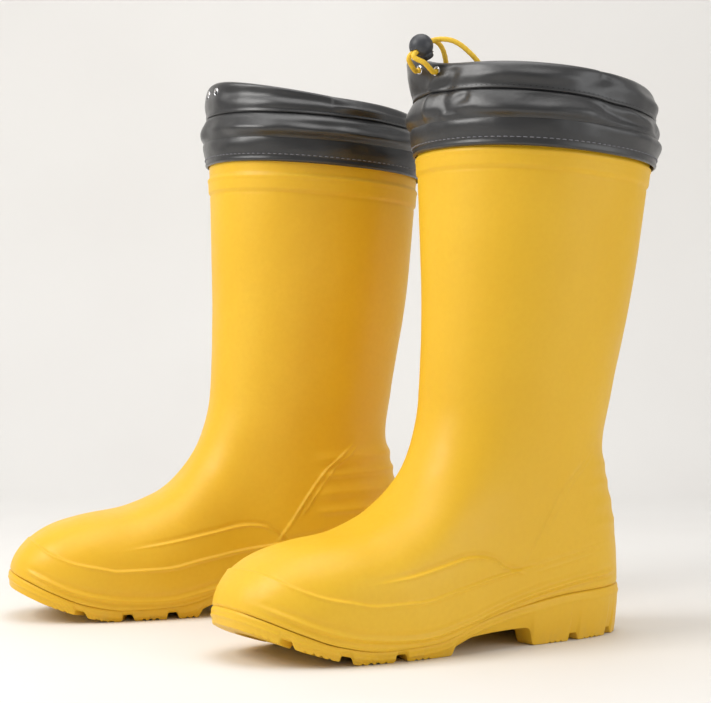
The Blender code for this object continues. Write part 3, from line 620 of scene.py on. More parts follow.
def half_route(sign):
    """One half of the drawcord, from the back of the cuff to its free end inside the mouth."""
    cuff = CUFFS["left"]
    turns = np.linspace(math.pi, EYELET_BEARING + CORD_CORNER, CORD_RING_POINTS) * sign
    entry, normal = eyelet_frame("left", sign * EYELET_BEARING)
    low, top = cuff["casing"]
    near_front = np.clip(peak(cuff, turns) / peak(cuff, sign * EYELET_BEARING), 0, 1)
    heights = low + CORD_ABOVE_CASING + (top - EYELET_DROP - low - CORD_ABOVE_CASING) * near_front
    held = casing_point(cuff, heights, -CORD_SETBACK, turns)
    corner = entry - CORD_SETBACK * normal
    strand = np.array([-math.cos(LOCK_PITCH), 0, math.sin(LOCK_PITCH)])
    plunger_out = np.array([-math.sin(LOCK_PITCH), 0, -math.cos(LOCK_PITCH)])
    sideways = np.array([0, 1, 0])
    lock = np.array(LOCK_PLACE) + SLOT_CENTRE * plunger_out + sign * STRAND_SPACING * sideways
    bend = [
        np.array(LOCK_PLACE) + a * strand + b * plunger_out + s * sideways
        for a, b, s in (OUTER_BEND if sign > 0 else INNER_BEND)
    ]
    out = [entry + run * normal for run in EYELET_RUN]
    through_lock = [lock - SLOT_MOUTH * strand, lock, lock + SLOT_EXIT * strand]
    tail = [np.array([f, LOCK_PLACE[1] + s, z]) for f, s, z in (OUTER_TAIL if sign > 0 else INNER_TAIL)]
    return np.array([*held, corner, entry, *halved(np.array([*out, *bend, *through_lock, *tail]))])


def evenly(route, spacing):
    """The route resampled on a smooth curve at even spacing."""
    fine = halved(halved(route))
    long = np.concatenate([[0], np.cumsum(np.linalg.norm(np.diff(fine, axis=0), axis=1))])
    at = np.linspace(0, long[-1], int(long[-1] / spacing) + 1)
    return np.stack([np.interp(at, long, fine[:, k]) for k in range(3)], 1), at


def braided_tube(name, path, at, radius, look, strands=8, pitch=0.0075, sides=20):
    """A round cord with the raised crossings of a braid."""
    along = np.gradient(path, axis=0)
    along /= np.linalg.norm(along, axis=1, keepdims=True)
    across = np.zeros_like(path)
    across[0] = np.cross(along[0], [0.31, 0.77, 0.55])
    for i in range(1, len(path)):
        across[i] = across[i - 1] - along[i] * np.dot(across[i - 1], along[i])
        across[i] /= np.linalg.norm(across[i])
    across[0] /= np.linalg.norm(across[0])
    other = np.cross(along, across)
    turn = np.linspace(0, 2 * math.pi, sides, endpoint=False)[None, :]
    twist = 2 * math.pi * at[:, None] / pitch
    weave = np.cos(strands / 2 * turn + twist * 1.0) * np.cos(strands / 2 * turn - twist * 1.0)
    reach = radius * (0.96 + 0.055 * weave)
    points = path[:, None] + reach[..., None] * (
        np.cos(turn)[..., None] * across[:, None] + np.sin(turn)[..., None] * other[:, None]
    )
    rows = len(path)
    faces = hoop_faces(rows, sides) + [
        tuple(range(sides))[::-1], tuple(range((rows - 1) * sides, rows * sides))
    ]
    return outward_faces(new_object(name, points.reshape(-1, 3), faces, look))


def make_drawcord(look):
    route = np.concatenate([half_route(1)[::-1], half_route(-1)[1:]])
    path, at = evenly(to_world(route, "left"), 0.0005)
    cord = braided_tube("drawcord_left", path, at, CORD_RADIUS, look["cord"])
    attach(cord, "left_cuff")
    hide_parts("left_drawcord")
    return cord


# ---------------------------------------------------------------- upper
def relief(points):
    """How far the moulded skin stands out from the plain body, in metres."""
    f, s, z = np.moveaxis(points, -1, 0)
    outer = ledge(s - smooth(MIDLINE, f), 0.012)
    made = np.zeros(f.shape)
    # bead above the sole, with the groove under it
    run = ledge(f - 0.022, 0.006) * ledge(0.290 - f, 0.004)
    over = z - smooth(UPPER_BEAD, f)
    made += run * (
        0.0013 * bead(over, 0.0015) - 0.0007 * bead(over + 0.0031, 0.0013)
        - 0.0005 * bead(over - 0.0030, 0.0020)
    )
    # the sole's parting line
    made -= 0.0006 * bead(z - smooth(PARTING, f) - GAP, 0.0009)
    # rand: the thicker band round the foot, its top edge a soft lip
    run = ledge(f - 0.098, 0.006) * ledge(0.284 - f, 0.010)
    over = z - smooth(RAND, f)
    made += run * (
        0.0017 * ledge(-over, 0.0008) * ledge(f - 0.05, 0.02) + 0.0007 * bead(over + 0.0008, 0.0010)
    )
    # side panels above the rand, higher on the inner side
    for share, table, front in ((outer, OUTER_WING, 0.212), (1 - outer, INNER_WING, 0.205)):
        over = z - smooth(table, f)
        run = share * ledge(f - table[0][0] - 0.003, 0.0022) * ledge(front - f, 0.012)
        above_rand = ledge(z - smooth(RAND, f) + 0.001, 0.0015)
        made += run * (
            0.0010 * ledge(-over, 0.0007) * above_rand + 0.0009 * bead(over + 0.0003, 0.0009)
            - 0.0004 * bead(over - 0.0022, 0.0015)
        )
    # heel counter: a raised panel with a double diagonal edge
    strength = 0.45 * outer + 1.0 * (1 - outer)
    tall = ledge(z - smooth(RAND, f) - 0.003, 0.002) * ledge(0.124 - z, 0.004)
    edge = f - smooth([(zz, ff) for zz, ff in COUNTER_EDGE_BY_HEIGHT], z)
    made += strength * tall * (
        0.0009 * ledge(-edge, 0.0007) + 0.0009 * bead(edge + 0.0004, 0.0010)
        + 0.0008 * bead(edge + 0.0062, 0.0009) * ledge(z - 0.075, 0.004)
    )
    over = z - smooth(RAND, f) - 0.0005
    run = ledge(0.094 - f, 0.003) * ledge(f - 0.040, 0.008)
    made += run * (
        0.0005 * ledge(-over, 0.0010) + 0.0006 * bead(over + 0.0004, 0.0012)
        + 0.0004 * bead(over + 0.0052, 0.0011)
    )
    # soft ribs round the back of the ankle
    back = 0.0006 * outer * ledge(0.044 - f, 0.006) + 0.0014 * (1 - outer) * ledge(0.074 - f, 0.005)
    for height, width in HEEL_RIBS:
        made += back * bead(z - height - 0.05 * (0.02 - f), width)
    # collar under the cuff: groove, thicker band, lip
    over = z - GROOVE_HEIGHT - tilt(f)
    made += 0.0010 * ledge(over, 0.0008) - 0.0006 * bead(over + 0.0006, 0.0010)
    over = z - LIP_HEIGHT - 0.9 * tilt(f)
    made += 0.0007 * bead(over, 0.0010) - 0.0012 * ledge(over - 0.0012, 0.0008)
    # the slight unevenness of a soft moulding
    calm = ledge(z - 0.06, 0.02)
    made += calm * 0.00045 * waves(points * [1, 1, 0.6], 0.085, 3) + 0.00012 * waves(points, 0.028, 5)
    return made


COUNTER_EDGE_BY_HEIGHT = [
    (0.045, 0.112), (0.056, 0.106), (0.064, 0.100), (0.092, 0.0816), (0.108, 0.0697), (0.121, 0.055),
    (0.130, 0.045)
]


def make_upper_points():
    """The upper's points, the same for both boots: outside rows up to the rim, then inside rows down."""
    steps = np.linspace(0, 1, SHELL_ROWS)
    turn = turn_table(steps, AROUND)
    step = np.repeat(steps[:, None], AROUND, 1)
    outside = surface(step, turn)
    outside += relief(outside)[..., None] * outward(outside)
    outside[0] += [0, 0, GAP]
    steps = np.linspace(1, FLOOR_STEP, CAVITY_ROWS)
    turn = turn_table(steps, AROUND)
    step = np.repeat(steps[:, None], AROUND, 1)
    inside = surface(step, turn)
    wall = WALL + (FOOT_WALL - WALL) * np.maximum(0, 1 - 2 * step)
    inside -= wall[..., None] * outward(inside)
    rim = (outside[-1] + inside[0]) / 2 + [0, 0, 0.0006]
    return np.concatenate([outside, rim[None], inside])


def make_uppers(look):
    points = make_upper_points()
    rows = len(points)
    faces = hoop_faces(rows, AROUND) + cap(0, AROUND, True) + cap((rows - 1) * AROUND, AROUND, False)
    for label in BOOTS:
        upper = outward_faces(new_object(f"upper_{label}", points.reshape(-1, 3), faces, look["eva"], label))
        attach(upper, f"{label}_boot")
        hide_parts(f"{label}_shell")


# ---------------------------------------------------------------- outsole
def along_edge(outline):
    long = np.linalg.norm(np.diff(np.concatenate([outline, outline[:1]]), axis=0), axis=1)
    return np.concatenate([[0], np.cumsum(long)])[:-1], long.sum()


def edge_pattern(outline):
    """How much of a lug stands at each point of the sole's edge: 1 on a lug, 0 in a gap, serrated between."""
    at = along_edge(outline)[0]
    half = len(outline) // 2
    lug = np.ones(len(outline))
    groove = np.zeros(len(outline))
    for notches, part in ((OUTER_NOTCHES, slice(0, half)), (INNER_NOTCHES, slice(half, None))):
        f = outline[part, 0]
        place = at[part]
        order = np.argsort(f)
        centres = np.interp(notches, f[order], place[order])
        for centre in centres:
            lug[part] *= 1 - ledge(0.0042 - np.abs(place - centre), 0.0006)
        arch = ledge(f - ARCH[0], 0.0012) * ledge(ARCH[1] - f, 0.0012)
        lug[part] *= 1 - arch
        for centre in centres:
            for step in (-0.0215, -0.0165, -0.0115, 0.0115, 0.0165, 0.0215):
                groove[part] += ledge(0.0007 - np.abs(place - centre - step), 0.0003)
    return lug, np.clip(groove, 0, 1)


def strokes(f, s, lines, half):
    """Distance inside a set of straight bars: positive within half of a line."""
    best = np.full(f.shape, -1.0)
    for (f0, s0), (f1, s1) in lines:
        df, ds = f1 - f0, s1 - s0
        t = np.clip(((f - f0) * df + (s - s0) * ds) / (df * df + ds * ds), 0, 1)
        best = np.maximum(best, half - np.hypot(f - f0 - t * df, s - s0 - t * ds))
    return best


def tread_pattern(f, s):
    """How much the tread stands out inside the ring of edge lugs, 0 to 1."""
    side = s - smooth(MIDLINE, f)
    bars = []
    for at in (0.176, 0.203, 0.230):
        bars += [
            ((at + 0.006, 0), (at - 0.004, 0.0135)), ((at + 0.006, 0), (at - 0.004, -0.0135)),
            ((at + 0.006, 0), (at - 0.006, 0))
        ]
    bars += [((at, -0.011), (at, 0.011)) for at in (0.034, 0.062)]
    bars += [((0.048, -0.004), (0.048, 0.004))]
    made = ledge(strokes(f, side, bars, 0.0026), 0.0005)
    for at, across in ((0.243, 0.024), (0.212, 0.028), (0.181, 0.027), (0.228, -0.026), (0.196, -0.027)):
        away = np.hypot(f - at, side - across)
        turn = np.arctan2(side - across, f - at)
        gaps = np.min([np.abs(wrapped(turn - g)) for g in (0.5, 2.6, 4.7)], axis=0) * away
        ring = ledge(0.0016 - np.abs(away - 0.0062), 0.0004) * ledge(gaps - 0.0010, 0.0003)
        made = np.maximum(made, np.maximum(ring, ledge(0.0013 - away, 0.0004)))
    for at, across in (
        (0.262, 0.010), (0.258, -0.016), (0.222, 0.036), (0.192, 0.037), (0.210, -0.036),
        (0.180, -0.035), (0.048, 0.015), (0.048, -0.015)
    ):
        away = np.hypot(f - at, side - across)
        made = np.maximum(made, 0.6 * ledge(0.0022 - away, 0.0009))
    ribs = 0.45 * (0.5 + 0.5 * np.cos(2 * math.pi * (f + 0.6 * side) / 0.0042)) ** 2
    return np.maximum(made, ribs * ledge(f - 0.268, 0.001) * ledge(0.292 - f, 0.002))


def make_outsole_points():
    turn = even_turns(0, SOLE_AROUND)
    step = np.zeros(turn.shape)
    outline = surface(step, turn, lambda f: smooth(SOLE_BASE, f))
    lug, groove = edge_pattern(outline[:, :2])
    low = smooth(TREAD, outline[:, 0])
    base = smooth(SOLE_BASE, outline[:, 0])
    edge = base + (low - base) * lug + 0.0012 * groove * lug
    top = smooth(PARTING, outline[:, 0]) - GAP
    rows = []
    for share in np.linspace(0, 1, SIDE_ROWS):
        level = top + (edge + 0.0006 - top) * share
        row = surface(step, turn, lambda f: level)
        normal = outward(row)
        edge_bead = 0.0008 * bead(level - top, 0.0012)
        lift = 0.0010 * (1 - share) - edge_bead + 0.0006 * bead(level - top + 0.0052, 0.0011)
        row += (lift - 0.0011 * (1 - lug) * share ** 2)[:, None] * normal * [1, 1, 0]
        rows.append(row)
    rim = rows[-1]
    f0, s0, _, _ = rays(step, turn)
    spine = np.stack([f0, s0], 1)
    for share in np.linspace(0, 1, TREAD_ROWS) ** 1.15:
        plan = rim[:, :2] + (spine - rim[:, :2]) * share
        f = plan[:, 0]
        inset = np.linalg.norm(rim[:, :2] - plan, axis=1)
        base = smooth(SOLE_BASE, f)
        low = smooth(TREAD, f)
        reach = ledge(0.0165 - inset, 0.0006)
        ring = lug * reach
        inner = tread_pattern(f, plan[:, 1]) * ledge(inset - 0.0185, 0.0006)
        inner *= 1 - ledge(f - 0.100, 0.001) * ledge(0.164 - f, 0.001)
        z = base + (low - base) * np.maximum(ring, 0.9 * inner) + 0.0012 * groove * ring
        if share == 0:
            z = edge
            plan = plan * 1.0
        rows.append(np.column_stack([plan, z]))
    return np.array(rows)


def make_outsoles(look):
    points = make_outsole_points()
    rows = len(points)
    faces = hoop_faces(rows, SOLE_AROUND) + cap(0, SOLE_AROUND, False)
    for label in BOOTS:
        sole = outward_faces(new_object(
            f"outsole_{label}_moulded", points.reshape(-1, 3), faces, look["eva"], label
        ))
        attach(sole, f"{label}_boot")
        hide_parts(f"{label}_outsole")


# ---------------------------------------------------------------- cuff
def fold(turn, height, start, end, depth, width, reach=0.12):
    """A soft ridge between two (bearing, height) points on the cuff, fading at its ends."""
    (t0, h0), (t1, h1) = start, end
    scale = 0.08
    x = wrapped(turn - t0) * scale
    y = height - h0
    dx, dy = wrapped(t1 - t0) * scale, h1 - h0
    long = math.hypot(dx, dy)
    u = (x * dx + y * dy) / long / long
    v = (x * -dy + y * dx) / long
    return depth * bead(v, width) * ledge(u + reach / 2, reach) * ledge(1 + reach / 2 - u, reach)


LEFT_FOLDS = [
    ((0.10, 0.389), (0.02, 0.352), 0.0022, 0.0045),
    ((0.32, 0.380), (0.18, 0.350), -0.0030, 0.0055),
    ((0.30, 0.352), (0.75, 0.346), -0.0016, 0.0035),
    ((0.55, 0.349), (1.30, 0.354), 0.0026, 0.0055),
    ((0.45, 0.361), (0.25, 0.354), -0.0026, 0.0045),
    ((1.20, 0.349), (2.60, 0.342), 0.0030, 0.0048),
    ((1.35, 0.360), (2.50, 0.350), -0.0028, 0.0042),
    ((2.00, 0.362), (2.45, 0.345), 0.0020, 0.0040),
    ((1.05, 0.371), (1.75, 0.381), -0.0030, 0.0055),
    ((1.80, 0.384), (2.45, 0.371), 0.0026, 0.0055),
    ((0.60, 0.378), (1.20, 0.374), 0.0016, 0.0060),
    ((-0.5, 0.352), (-1.6, 0.346), 0.0024, 0.0050),
    ((-1.0, 0.378), (-2.3, 0.371), -0.0022, 0.0050),
    ((-2.0, 0.354), (-2.9, 0.352), 0.0024, 0.0050),
]
RIGHT_FOLDS = [
    ((-0.30, 0.389), (-1.60, 0.3855), -0.0036, 0.0060),
    ((-0.70, 0.3760), (-2.75, 0.3755), -0.0020, 0.0022),
    ((-0.90, 0.3690), (-2.60, 0.3700), 0.0018, 0.0035),
    ((-0.60, 0.3615), (-2.95, 0.3600), 0.0034, 0.0045),
    ((-1.60, 0.3880), (-2.25, 0.3800), 0.0030, 0.0050),
    ((-2.30, 0.3810), (-3.00, 0.3760), -0.0018, 0.0045),
    ((0.60, 0.3640), (2.10, 0.3600), 0.0024, 0.0050),
    ((1.00, 0.3860), (2.40, 0.3810), -0.0022, 0.0050),
]


def softness(label, turn, height, base):
    """Folds and small wrinkles of one cuff, in metres outward."""
    made = np.zeros(turn.shape)
    for start, end, depth, width in LEFT_FOLDS if label == "left" else RIGHT_FOLDS:
        made += fold(turn, height, start, end, depth, width)
    calm = 1 - np.exp(-((wrapped(turn) / 0.22) ** 2)) * ledge(
        height - CUFFS[label]["casing"][1] + 0.012, 0.003
    )
    seed = 21 if label == "left" else 34
    at = np.stack([base[..., 0], base[..., 1], height * 1.6], -1)
    made += 0.0014 * waves(at, 0.055, seed) + 0.0006 * waves(at, 0.021, seed + 1)
    return calm * made


def cuff_piece(name, label, look, section, turns, soft_share):
    """A closed hoop of fabric. Its section rows are (height, offset, share of the peak, share of the folds)."""
    cuff = CUFFS[label]
    base, normal = cuff_base(turns)
    rows = []
    for height, offset, share, folds in section:
        level = height + share * peak(cuff, turns)
        out = offset + share * flare(cuff, turns) + folds * soft_share * softness(label, turns, level, base)
        row = base + out[:, None] * normal
        row[:, 2] = level + tilt(base[:, 0]) + sag(label, height, turns)
        rows.append(row)
    points = np.array(rows)
    around = np.concatenate([[0], np.cumsum(np.linalg.norm(np.diff(base, axis=0), axis=1))])
    run = np.concatenate([[0], np.cumsum(np.linalg.norm(np.diff(points[:, 0], axis=0), axis=1))])
    uv = np.stack(np.broadcast_arrays(around[None, :], run[:, None]), -1).reshape(-1, 2)
    faces = hoop_faces(len(rows), len(turns), last_joins_first=True)
    return outward_faces(new_object(name, points.reshape(-1, 3), faces, look, label, uv=uv))


def sag(label, height, turns):
    """How far the soft cuff droops toward its back, below where the plain tilt puts its seams."""
    low, top = CUFFS[label]["band"][1], CUFFS[label]["casing"][0]
    share = np.clip((height - low) / (top - low), 0, 1)
    back = 0.5 - 0.5 * np.cos(wrapped(turns))
    corner = np.exp(-((wrapped(turns - math.pi) / 0.75) ** 2)) * np.clip((height - top) / CASING_SPAN, 0, 1)
    seam_drop, corner_drop = CUFF_DROOP[label]
    above = np.clip((height - top) / CASING_SPAN, 0, 1)
    return seam_drop * (DROOP_PIVOT - back) * share * (1 - 0.75 * above) - corner_drop * corner


def rounded(points, per_span=6):
    """Section rows resampled on a smooth closed curve."""
    rows = np.array(points, float)
    count = len(rows)
    made = []
    for i in range(count):
        a, b, c, d = (rows[(i + k) % count] for k in (-1, 0, 1, 2))
        for t in np.arange(per_span) / per_span:
            made.append(0.5 * (
                (2 * b) + (c - a) * t + (2 * a - 5 * b + 4 * c - d) * t * t
                + (3 * b - a - 3 * c + d) * t ** 3
            ))
    return np.array(made)


def band_section(label):
    low, high = CUFFS[label]["band"]
    return rounded([
        (low - 0.0004, 0.0006, 0, 0), (low - 0.0007, 0.0018, 0, 0), (low + 0.0006, 0.0027, 0, 0),
        (low + 0.0030, 0.0025, 0, 0.1),
        (low + 0.0055, 0.0031, 0, 0.4), (low + 0.0090, 0.0040, 0, 0.7),
        (low + 0.0130, 0.0044, 0, 0.9), (high - 0.0010, 0.0038, 0, 0.9),
        (high + 0.0012, 0.0022, 0, 0.5), (high + 0.0004, 0.0008, 0, 0.2),
        (high - 0.0040, 0.0004, 0, 0), (low + 0.0070, 0.0004, 0, 0),
    ])


def sleeve_section(label):
    low = CUFFS[label]["band"][1]
    high = CUFFS[label]["casing"][0]
    span = high - low
    outer = [
        (low - 0.0026, 0.0026, 0, 0.2), (low + 0.0008, 0.0042, 0, 0.6),
        (low + 0.18 * span, 0.0054, 0, 1), (low + 0.38 * span, 0.0060, 0, 1),
        (low + 0.58 * span, 0.0052, 0, 1), (low + 0.76 * span, 0.0038, 0, 1),
        (low + 0.90 * span, 0.0024, 0, 0.8), (high + 0.0004, 0.0002, 0, 0.4),
        (high + 0.0022, -0.0020, 0, 0),
    ]
    inner = [(h, o - FABRIC, p, k) for h, o, p, k in reversed(outer)]
    return rounded(outer + inner, 5)


def casing_section(label):
    low, top = CUFFS[label]["casing"]
    mid = (low + top) / 2
    outer = [
        (low - 0.0003, 0.0010, 0, 0.3), (low + 0.0006, 0.0024, 0, 0.5),
        (low + 0.0028, 0.0020, 0.1, 0.7), (mid - 0.001, 0.0026, 0.45, 1),
        (top - 0.0060, 0.0012, 0.8, 0.8), (top - 0.0022, 0.0001, 1, 0.5),
        (top - 0.0003, -0.0018, 1, 0.4), (top, -0.0044, 1, 0.4),
        (top - 0.0003, -0.0070, 1, 0.4), (top - 0.0022, -0.0090, 1, 0.4),
        (top - 0.0060, -0.0092, 0.8, 0.4), (mid, -0.0090, 0.45, 0.3),
        (low + 0.0010, -0.0088, 0, 0.1),
    ]
    inner = [
        (low + 0.0003, -0.0078, 0, 0.1), (mid, -0.0078, 0.45, 0.3), (top - 0.0055, -0.0079, 0.8, 0.4),
        (top - 0.0022, -0.0072, 1, 0.4),
        (top - 0.0014, -0.0044, 1, 0.4), (top - 0.0024, -0.0018, 1, 0.4),
        (top - 0.0060, -0.0010, 0.8, 0.8), (mid, 0.0006, 0.45, 1),
        (low + 0.0010, -0.0002, 0, 0.5),
    ]
    return rounded(outer + inner, 4)


def stitch_row(name, label, look, height, offset, pitch, length, turns_fold):
    """Separate thread stitches round the cuff, each a short bent bar."""
    turns = np.linspace(0, 2 * math.pi, 2400)
    base, _ = cuff_base(turns)
    long = np.concatenate([[0], np.cumsum(np.linalg.norm(np.diff(base, axis=0), axis=1))])
    count = int(long[-1] / pitch)
    starts = np.arange(count) * long[-1] / count
    spans = np.linspace(0, length, 5)
    at = np.interp((starts[:, None] + spans[None, :]).ravel() % long[-1], long, turns)
    base, normal = cuff_base(at)
    soft = turns_fold * softness(label, at, np.full(at.shape, height), base)
    dip = np.tile([-0.0005, 0.0001, 0.0002, 0.0001, -0.0005], count)
    centre = base + (offset + soft + dip)[:, None] * normal
    centre[:, 2] = height + tilt(base[:, 0]) + sag(label, height, at)
    sides = 6
    turn = np.linspace(0, 2 * math.pi, sides, endpoint=False)
    radius = 0.00032
    thick = np.tile([0.6, 1, 1, 1, 0.6], count)[:, None, None] * radius
    up = np.array([0, 0, 1.0])
    points = centre[:, None] + thick * (
        np.cos(turn)[None, :, None] * normal[:, None] + np.sin(turn)[None, :, None] * up
    )
    faces = []
    for k in range(count):
        first = k * 5 * sides
        faces += hoop_faces(5, sides, first)
        faces += [tuple(range(first, first + sides)), tuple(range(first + 4 * sides, first + 5 * sides))]
    return outward_faces(new_object(name, points.reshape(-1, 3), faces, look, label))


def make_cuffs(look):
    turns = even_turns(1, CUFF_AROUND)
    ring_long = along_edge(cuff_base(turns)[0])[1]
    for label, cuff in CUFFS.items():
        band = cuff_piece(f"cuff_band_{label}", label, look["fabric"], band_section(label), turns, 0.6)
        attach(band, f"{label}_boot")
        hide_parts(f"{label}_cuff_band")
        seam = cuff["band"][0] + 0.0044
        stitches = stitch_row(
            f"band_stitches_{label}", label, look["thread"], seam, 0.0031, 0.0042, 0.0029, 0.16
        )
        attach(stitches, f"{label}_boot")
        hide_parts(f"{label}_band_thread")
        sleeve = cuff_piece(f"cuff_sleeve_{label}", label, look["fabric"], sleeve_section(label), turns, 1.0)
        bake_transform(sleeve)
        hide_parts(f"{label}_cuff_sleeve")
        casing = cuff_piece(f"cuff_casing_{label}", label, look["fabric"], casing_section(label), turns, 0.8)
        for which, turn in (("outer", EYELET_BEARING), ("inner", -EYELET_BEARING)):
            punch_hole(casing, label, turn)
            make_eyelet(look, label, which, turn)
        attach(casing, f"{label}_cuff")
        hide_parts(f"{label}_cuff_casing")
        seam = cuff["casing"][0] + 0.0021
        stitches = stitch_row(
            f"casing_stitches_{label}", label, look["dark_thread"], seam, 0.0017, 0.0036, 0.0024, 0.5
        )
        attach(stitches, f"{label}_cuff")
        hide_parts(f"{label}_casing_thread")


def spun(centre, normal, section, steps):
    side = np.cross(normal, [0, 0, 1])
    side /= np.linalg.norm(side)
    up = np.cross(side, normal)
    turn = np.linspace(0, 2 * math.pi, steps, endpoint=False)[:, None]
    around = np.cos(turn) * side + np.sin(turn) * up
    return np.concatenate([centre + out * normal + radius * around for radius, out in section])


def punch_hole(casing, label, turn):
    centre, normal = eyelet_frame(label, turn)
    points = spun(centre, normal, [(0.0028, -0.0040), (0.0028, 0.0080)], 40)
    faces = hoop_faces(2, 40) + [tuple(range(40)), tuple(range(40, 80))]
    cutter = outward_faces(new_object("hole_cutter", points, faces, casing.data.materials[0], label))
    cut = casing.modifiers.new("hole", "BOOLEAN")
    cut.operation = "DIFFERENCE"
    cut.solver = "EXACT"
    cut.object = cutter
    bpy.context.view_layer.update()
    graph = bpy.context.evaluated_depsgraph_get()
    cut_mesh = bpy.data.meshes.new_from_object(casing.evaluated_get(graph))
    casing.modifiers.clear()
    casing.data = cut_mesh
    bpy.data.objects.remove(cutter)


def make_eyelet(look, label, which, turn):
    centre, normal = eyelet_frame(label, turn)
    barrel = [
        (0.0021, -0.0024), (0.0021, 0.0006), (0.0022, 0.0012), (0.0026, 0.0016), (0.0031, 0.0016),
        (0.0035, 0.0013),
        (0.0037, 0.0008), (0.0037, 0.0005), (0.0025, 0.0005), (0.0025, -0.0024),
    ]
    washer = [(0.0028, -0.0024), (0.0028, -0.0019), (0.0032, -0.0017), (0.0036, -0.0019), (0.0036, -0.0024)]
    for kind, section in (("eyelet", barrel), ("washer", washer)):
        points = spun(centre, normal, section, 40)
        faces = hoop_faces(len(section), 40, last_joins_first=True)
        piece = outward_faces(new_object(f"{kind}_{which}_{label}", points, faces, look["metal"], label))
        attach(piece, f"{label}_cuff")
        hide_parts(f"{label}_{which}_{kind}")


# ---------------------------------------------------------------- cord lock
def lock_matrix():
    side = BOOTS["left"]["side"]
    turn = Matrix.Rotation(side * TOE_OUT, 3, "Z")
    strand = turn @ Vector((0, math.cos(LOCK_PITCH), math.sin(LOCK_PITCH)))
    plunger = turn @ Vector((0, math.sin(LOCK_PITCH), -math.cos(LOCK_PITCH)))
    across = turn @ Vector((1, 0, 0))
    place = Vector(to_world([LOCK_PLACE], "left")[0])
    return Matrix.Translation(place) @ Matrix((across, strand, plunger)).transposed().to_4x4()


def lathe(name, profile, look, steps=56):
    """A turned solid about its own Z from (radius, height) points, open ends closed."""
    turn = np.linspace(0, 2 * math.pi, steps, endpoint=False)
    rows = [np.stack([r * np.cos(turn), r * np.sin(turn), 0 * turn + h], 1) for r, h in profile]
    faces = hoop_faces(len(rows), steps) + [
        tuple(range(steps)), tuple(range((len(rows) - 1) * steps, len(rows) * steps))
    ]
    return outward_faces(new_object(name, np.concatenate(rows), faces, look))


def slot_cutter(width, low, high, look):
    x, y = width / 2, 2 * LOCK_RADIUS
    corners = [(a, b, c) for c in (low, high) for a, b in ((-x, -y), (x, -y), (x, y), (-x, y))]
    faces = [(0, 1, 2, 3), (4, 5, 6, 7), (0, 1, 5, 4), (1, 2, 6, 5), (2, 3, 7, 6), (3, 0, 4, 7)]
    cutter = outward_faces(new_object("slot_cutter", corners, faces, look, smooth_faces=False))
    round_edges = cutter.modifiers.new("round", "BEVEL")
    round_edges.width = 0.0012
    round_edges.segments = 3
    return cutter


def carve(target, cutters):
    for cutter in cutters:
        cut = target.modifiers.new("cut", "BOOLEAN")
        cut.operation = "DIFFERENCE"
        cut.solver = "EXACT"
        cut.object = cutter
    bpy.context.view_layer.update()
    graph = bpy.context.evaluated_depsgraph_get()
    carved = bpy.data.meshes.new_from_object(target.evaluated_get(graph))
    target.modifiers.clear()
    target.data = carved
    for cutter in cutters:
        bpy.data.objects.remove(cutter)


def make_lock(look):
    place = lock_matrix()
    angles = np.linspace(-math.pi / 2 + 0.02, 0.86, 40)
    ball = [(LOCK_RADIUS * math.cos(a), LOCK_RADIUS * math.sin(a)) for a in angles]
    collar = LOCK_RADIUS * math.sin(angles[-1])
    ball += [(0.0060, collar + 0.0007), (0.0056, collar + 0.0009)]
    body = lathe("lock_ball_left", ball, look["plastic"])
    bore = lathe("bore_cutter", [(PLUNGER_BORE, LOCK_FLOOR), (PLUNGER_BORE, 0.02)], look["plastic"], 48)
    slot_low = SLOT_CENTRE - SLOT_HEIGHT / 2
    slot_high = SLOT_CENTRE + SLOT_HEIGHT / 2
    carve(body, [bore, slot_cutter(SLOT_WIDTH, slot_low, slot_high, look["plastic"])])
    edge = 0.0006
    rod = [
        (PLUNGER_RADIUS - edge, PLUNGER_FOOT), (PLUNGER_RADIUS, PLUNGER_FOOT + edge),
        (PLUNGER_RADIUS, PLUNGER_TOP - 0.0012),
        (PLUNGER_RADIUS - 0.0004, PLUNGER_TOP - 0.0004), (PLUNGER_RADIUS - 0.0012, PLUNGER_TOP),
    ]
    plunger = lathe("lock_plunger_left_turned", rod, look["black"])
    window = slot_cutter(SLOT_WIDTH - 2 * GAP, slot_low, slot_high + PLUNGER_TRAVEL, look["black"])
    carve(plunger, [window])
    for piece, body_name, node, slot in (
        (body, "left_lock", "left_lock_body", "lock_plastic_grey"),
        (plunger, "left_plunger", "left_lock_plunger", "lock_plastic_grey"),
    ):
        piece.data.transform(place)
        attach(piece, body_name)
        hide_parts(node)


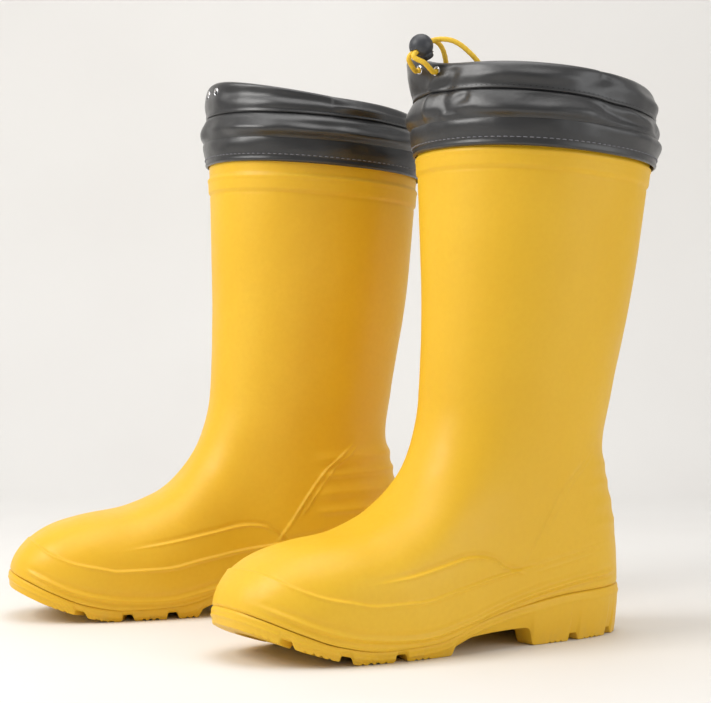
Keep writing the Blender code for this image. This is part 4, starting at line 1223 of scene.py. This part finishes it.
# ---------------------------------------------------------------- floor and light
def make_studio():
    n = Nodes("studio_floor")
    at = n.where()
    tone = n.noise(at, 2.2, 2.0)
    n.link(
        n.mix(n.ramp(tone, 0.3, 0.7, 0.0, 1.0), (0.80, 0.785, 0.765), (0.83, 0.82, 0.80)),
        n.shader.inputs["Base Color"]
    )
    n.link(n.ramp(n.noise(at, 14.0, 4.0), 0.3, 0.7, 0.60, 0.72), n.shader.inputs["Roughness"])
    ahead = np.array([-0.9094, 0.4160])
    across = np.array([0.4160, 0.9094])
    start = np.array([1.1770, -0.5122])
    profile = [(-1.2, 0.0)] + [(
        2.35 + 0.45 * math.sin(a), 0.45 * (1 - math.cos(a))
    ) for a in np.linspace(0, math.pi / 2, 24)]
    profile += [(2.80, 2.6)]
    points = []
    for far, up in profile:
        for wide in (-3.0, 3.0):
            x, y = start + far * ahead + wide * across
            points.append((x, y, up - 0.0002))
    faces = [(2 * i, 2 * i + 1, 2 * i + 3, 2 * i + 2) for i in range(len(profile) - 1)]
    floor = new_object("studio_sweep", points, faces, n.look)


def soft_light(name, place, target, size, power, colour):
    data = bpy.data.lights.new(name, "AREA")
    data.shape = "RECTANGLE"
    data.size, data.size_y = size
    data.energy = power
    data.color = colour
    light = bpy.data.objects.new(name, data)
    light.location = place
    light.rotation_euler = (Vector(target) - Vector(place)).to_track_quat("-Z", "Y").to_euler()
    bpy.context.scene.collection.objects.link(light)


def make_light():
    ahead = Vector((-0.9094, 0.4160, 0))
    right = Vector((0.4160, 0.9094, 0))
    centre = Vector((0.0, 0.05, 0.18))

    def at(toward_camera, to_right, up):
        return centre - ahead * toward_camera + right * to_right + Vector((0, 0, up))

    soft_light("key_left", at(0.55, -1.35, 1.05), centre, (0.9, 0.9), 19.5, (1.0, 0.985, 0.96))
    soft_light("overhead", at(0.1, -0.1, 1.8), centre, (1.6, 1.6), 19, (1.0, 0.99, 0.98))
    soft_light("fill_right", at(0.8, 1.6, 0.5), centre, (1.1, 1.1), 7.5, (0.98, 0.99, 1.0))
    world = bpy.data.worlds.new("studio_world")
    world.use_nodes = True
    world.node_tree.nodes["Background"].inputs["Color"].default_value = (1.0, 0.99, 0.975, 1)
    world.node_tree.nodes["Background"].inputs["Strength"].default_value = 0.44
    bpy.context.scene.world = world


def rematerial(look):
    """The CAD nodes that stay visible get a textured material."""
    for node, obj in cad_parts.items():
        if obj.hide_render:
            continue
        kind = "foam" if "insole" in node else "steel" if "spring" in node else "plastic"
        obj.data.materials.clear()
        obj.data.materials.append(look[kind])


def main():
    bpy.context.scene.view_settings.view_transform = "Standard"
    make_camera()
    look = make_materials()
    make_drawcord(look)
    make_uppers(look)
    make_outsoles(look)
    make_cuffs(look)
    make_lock(look)
    make_studio()
    make_light()
    rematerial(look)


main()
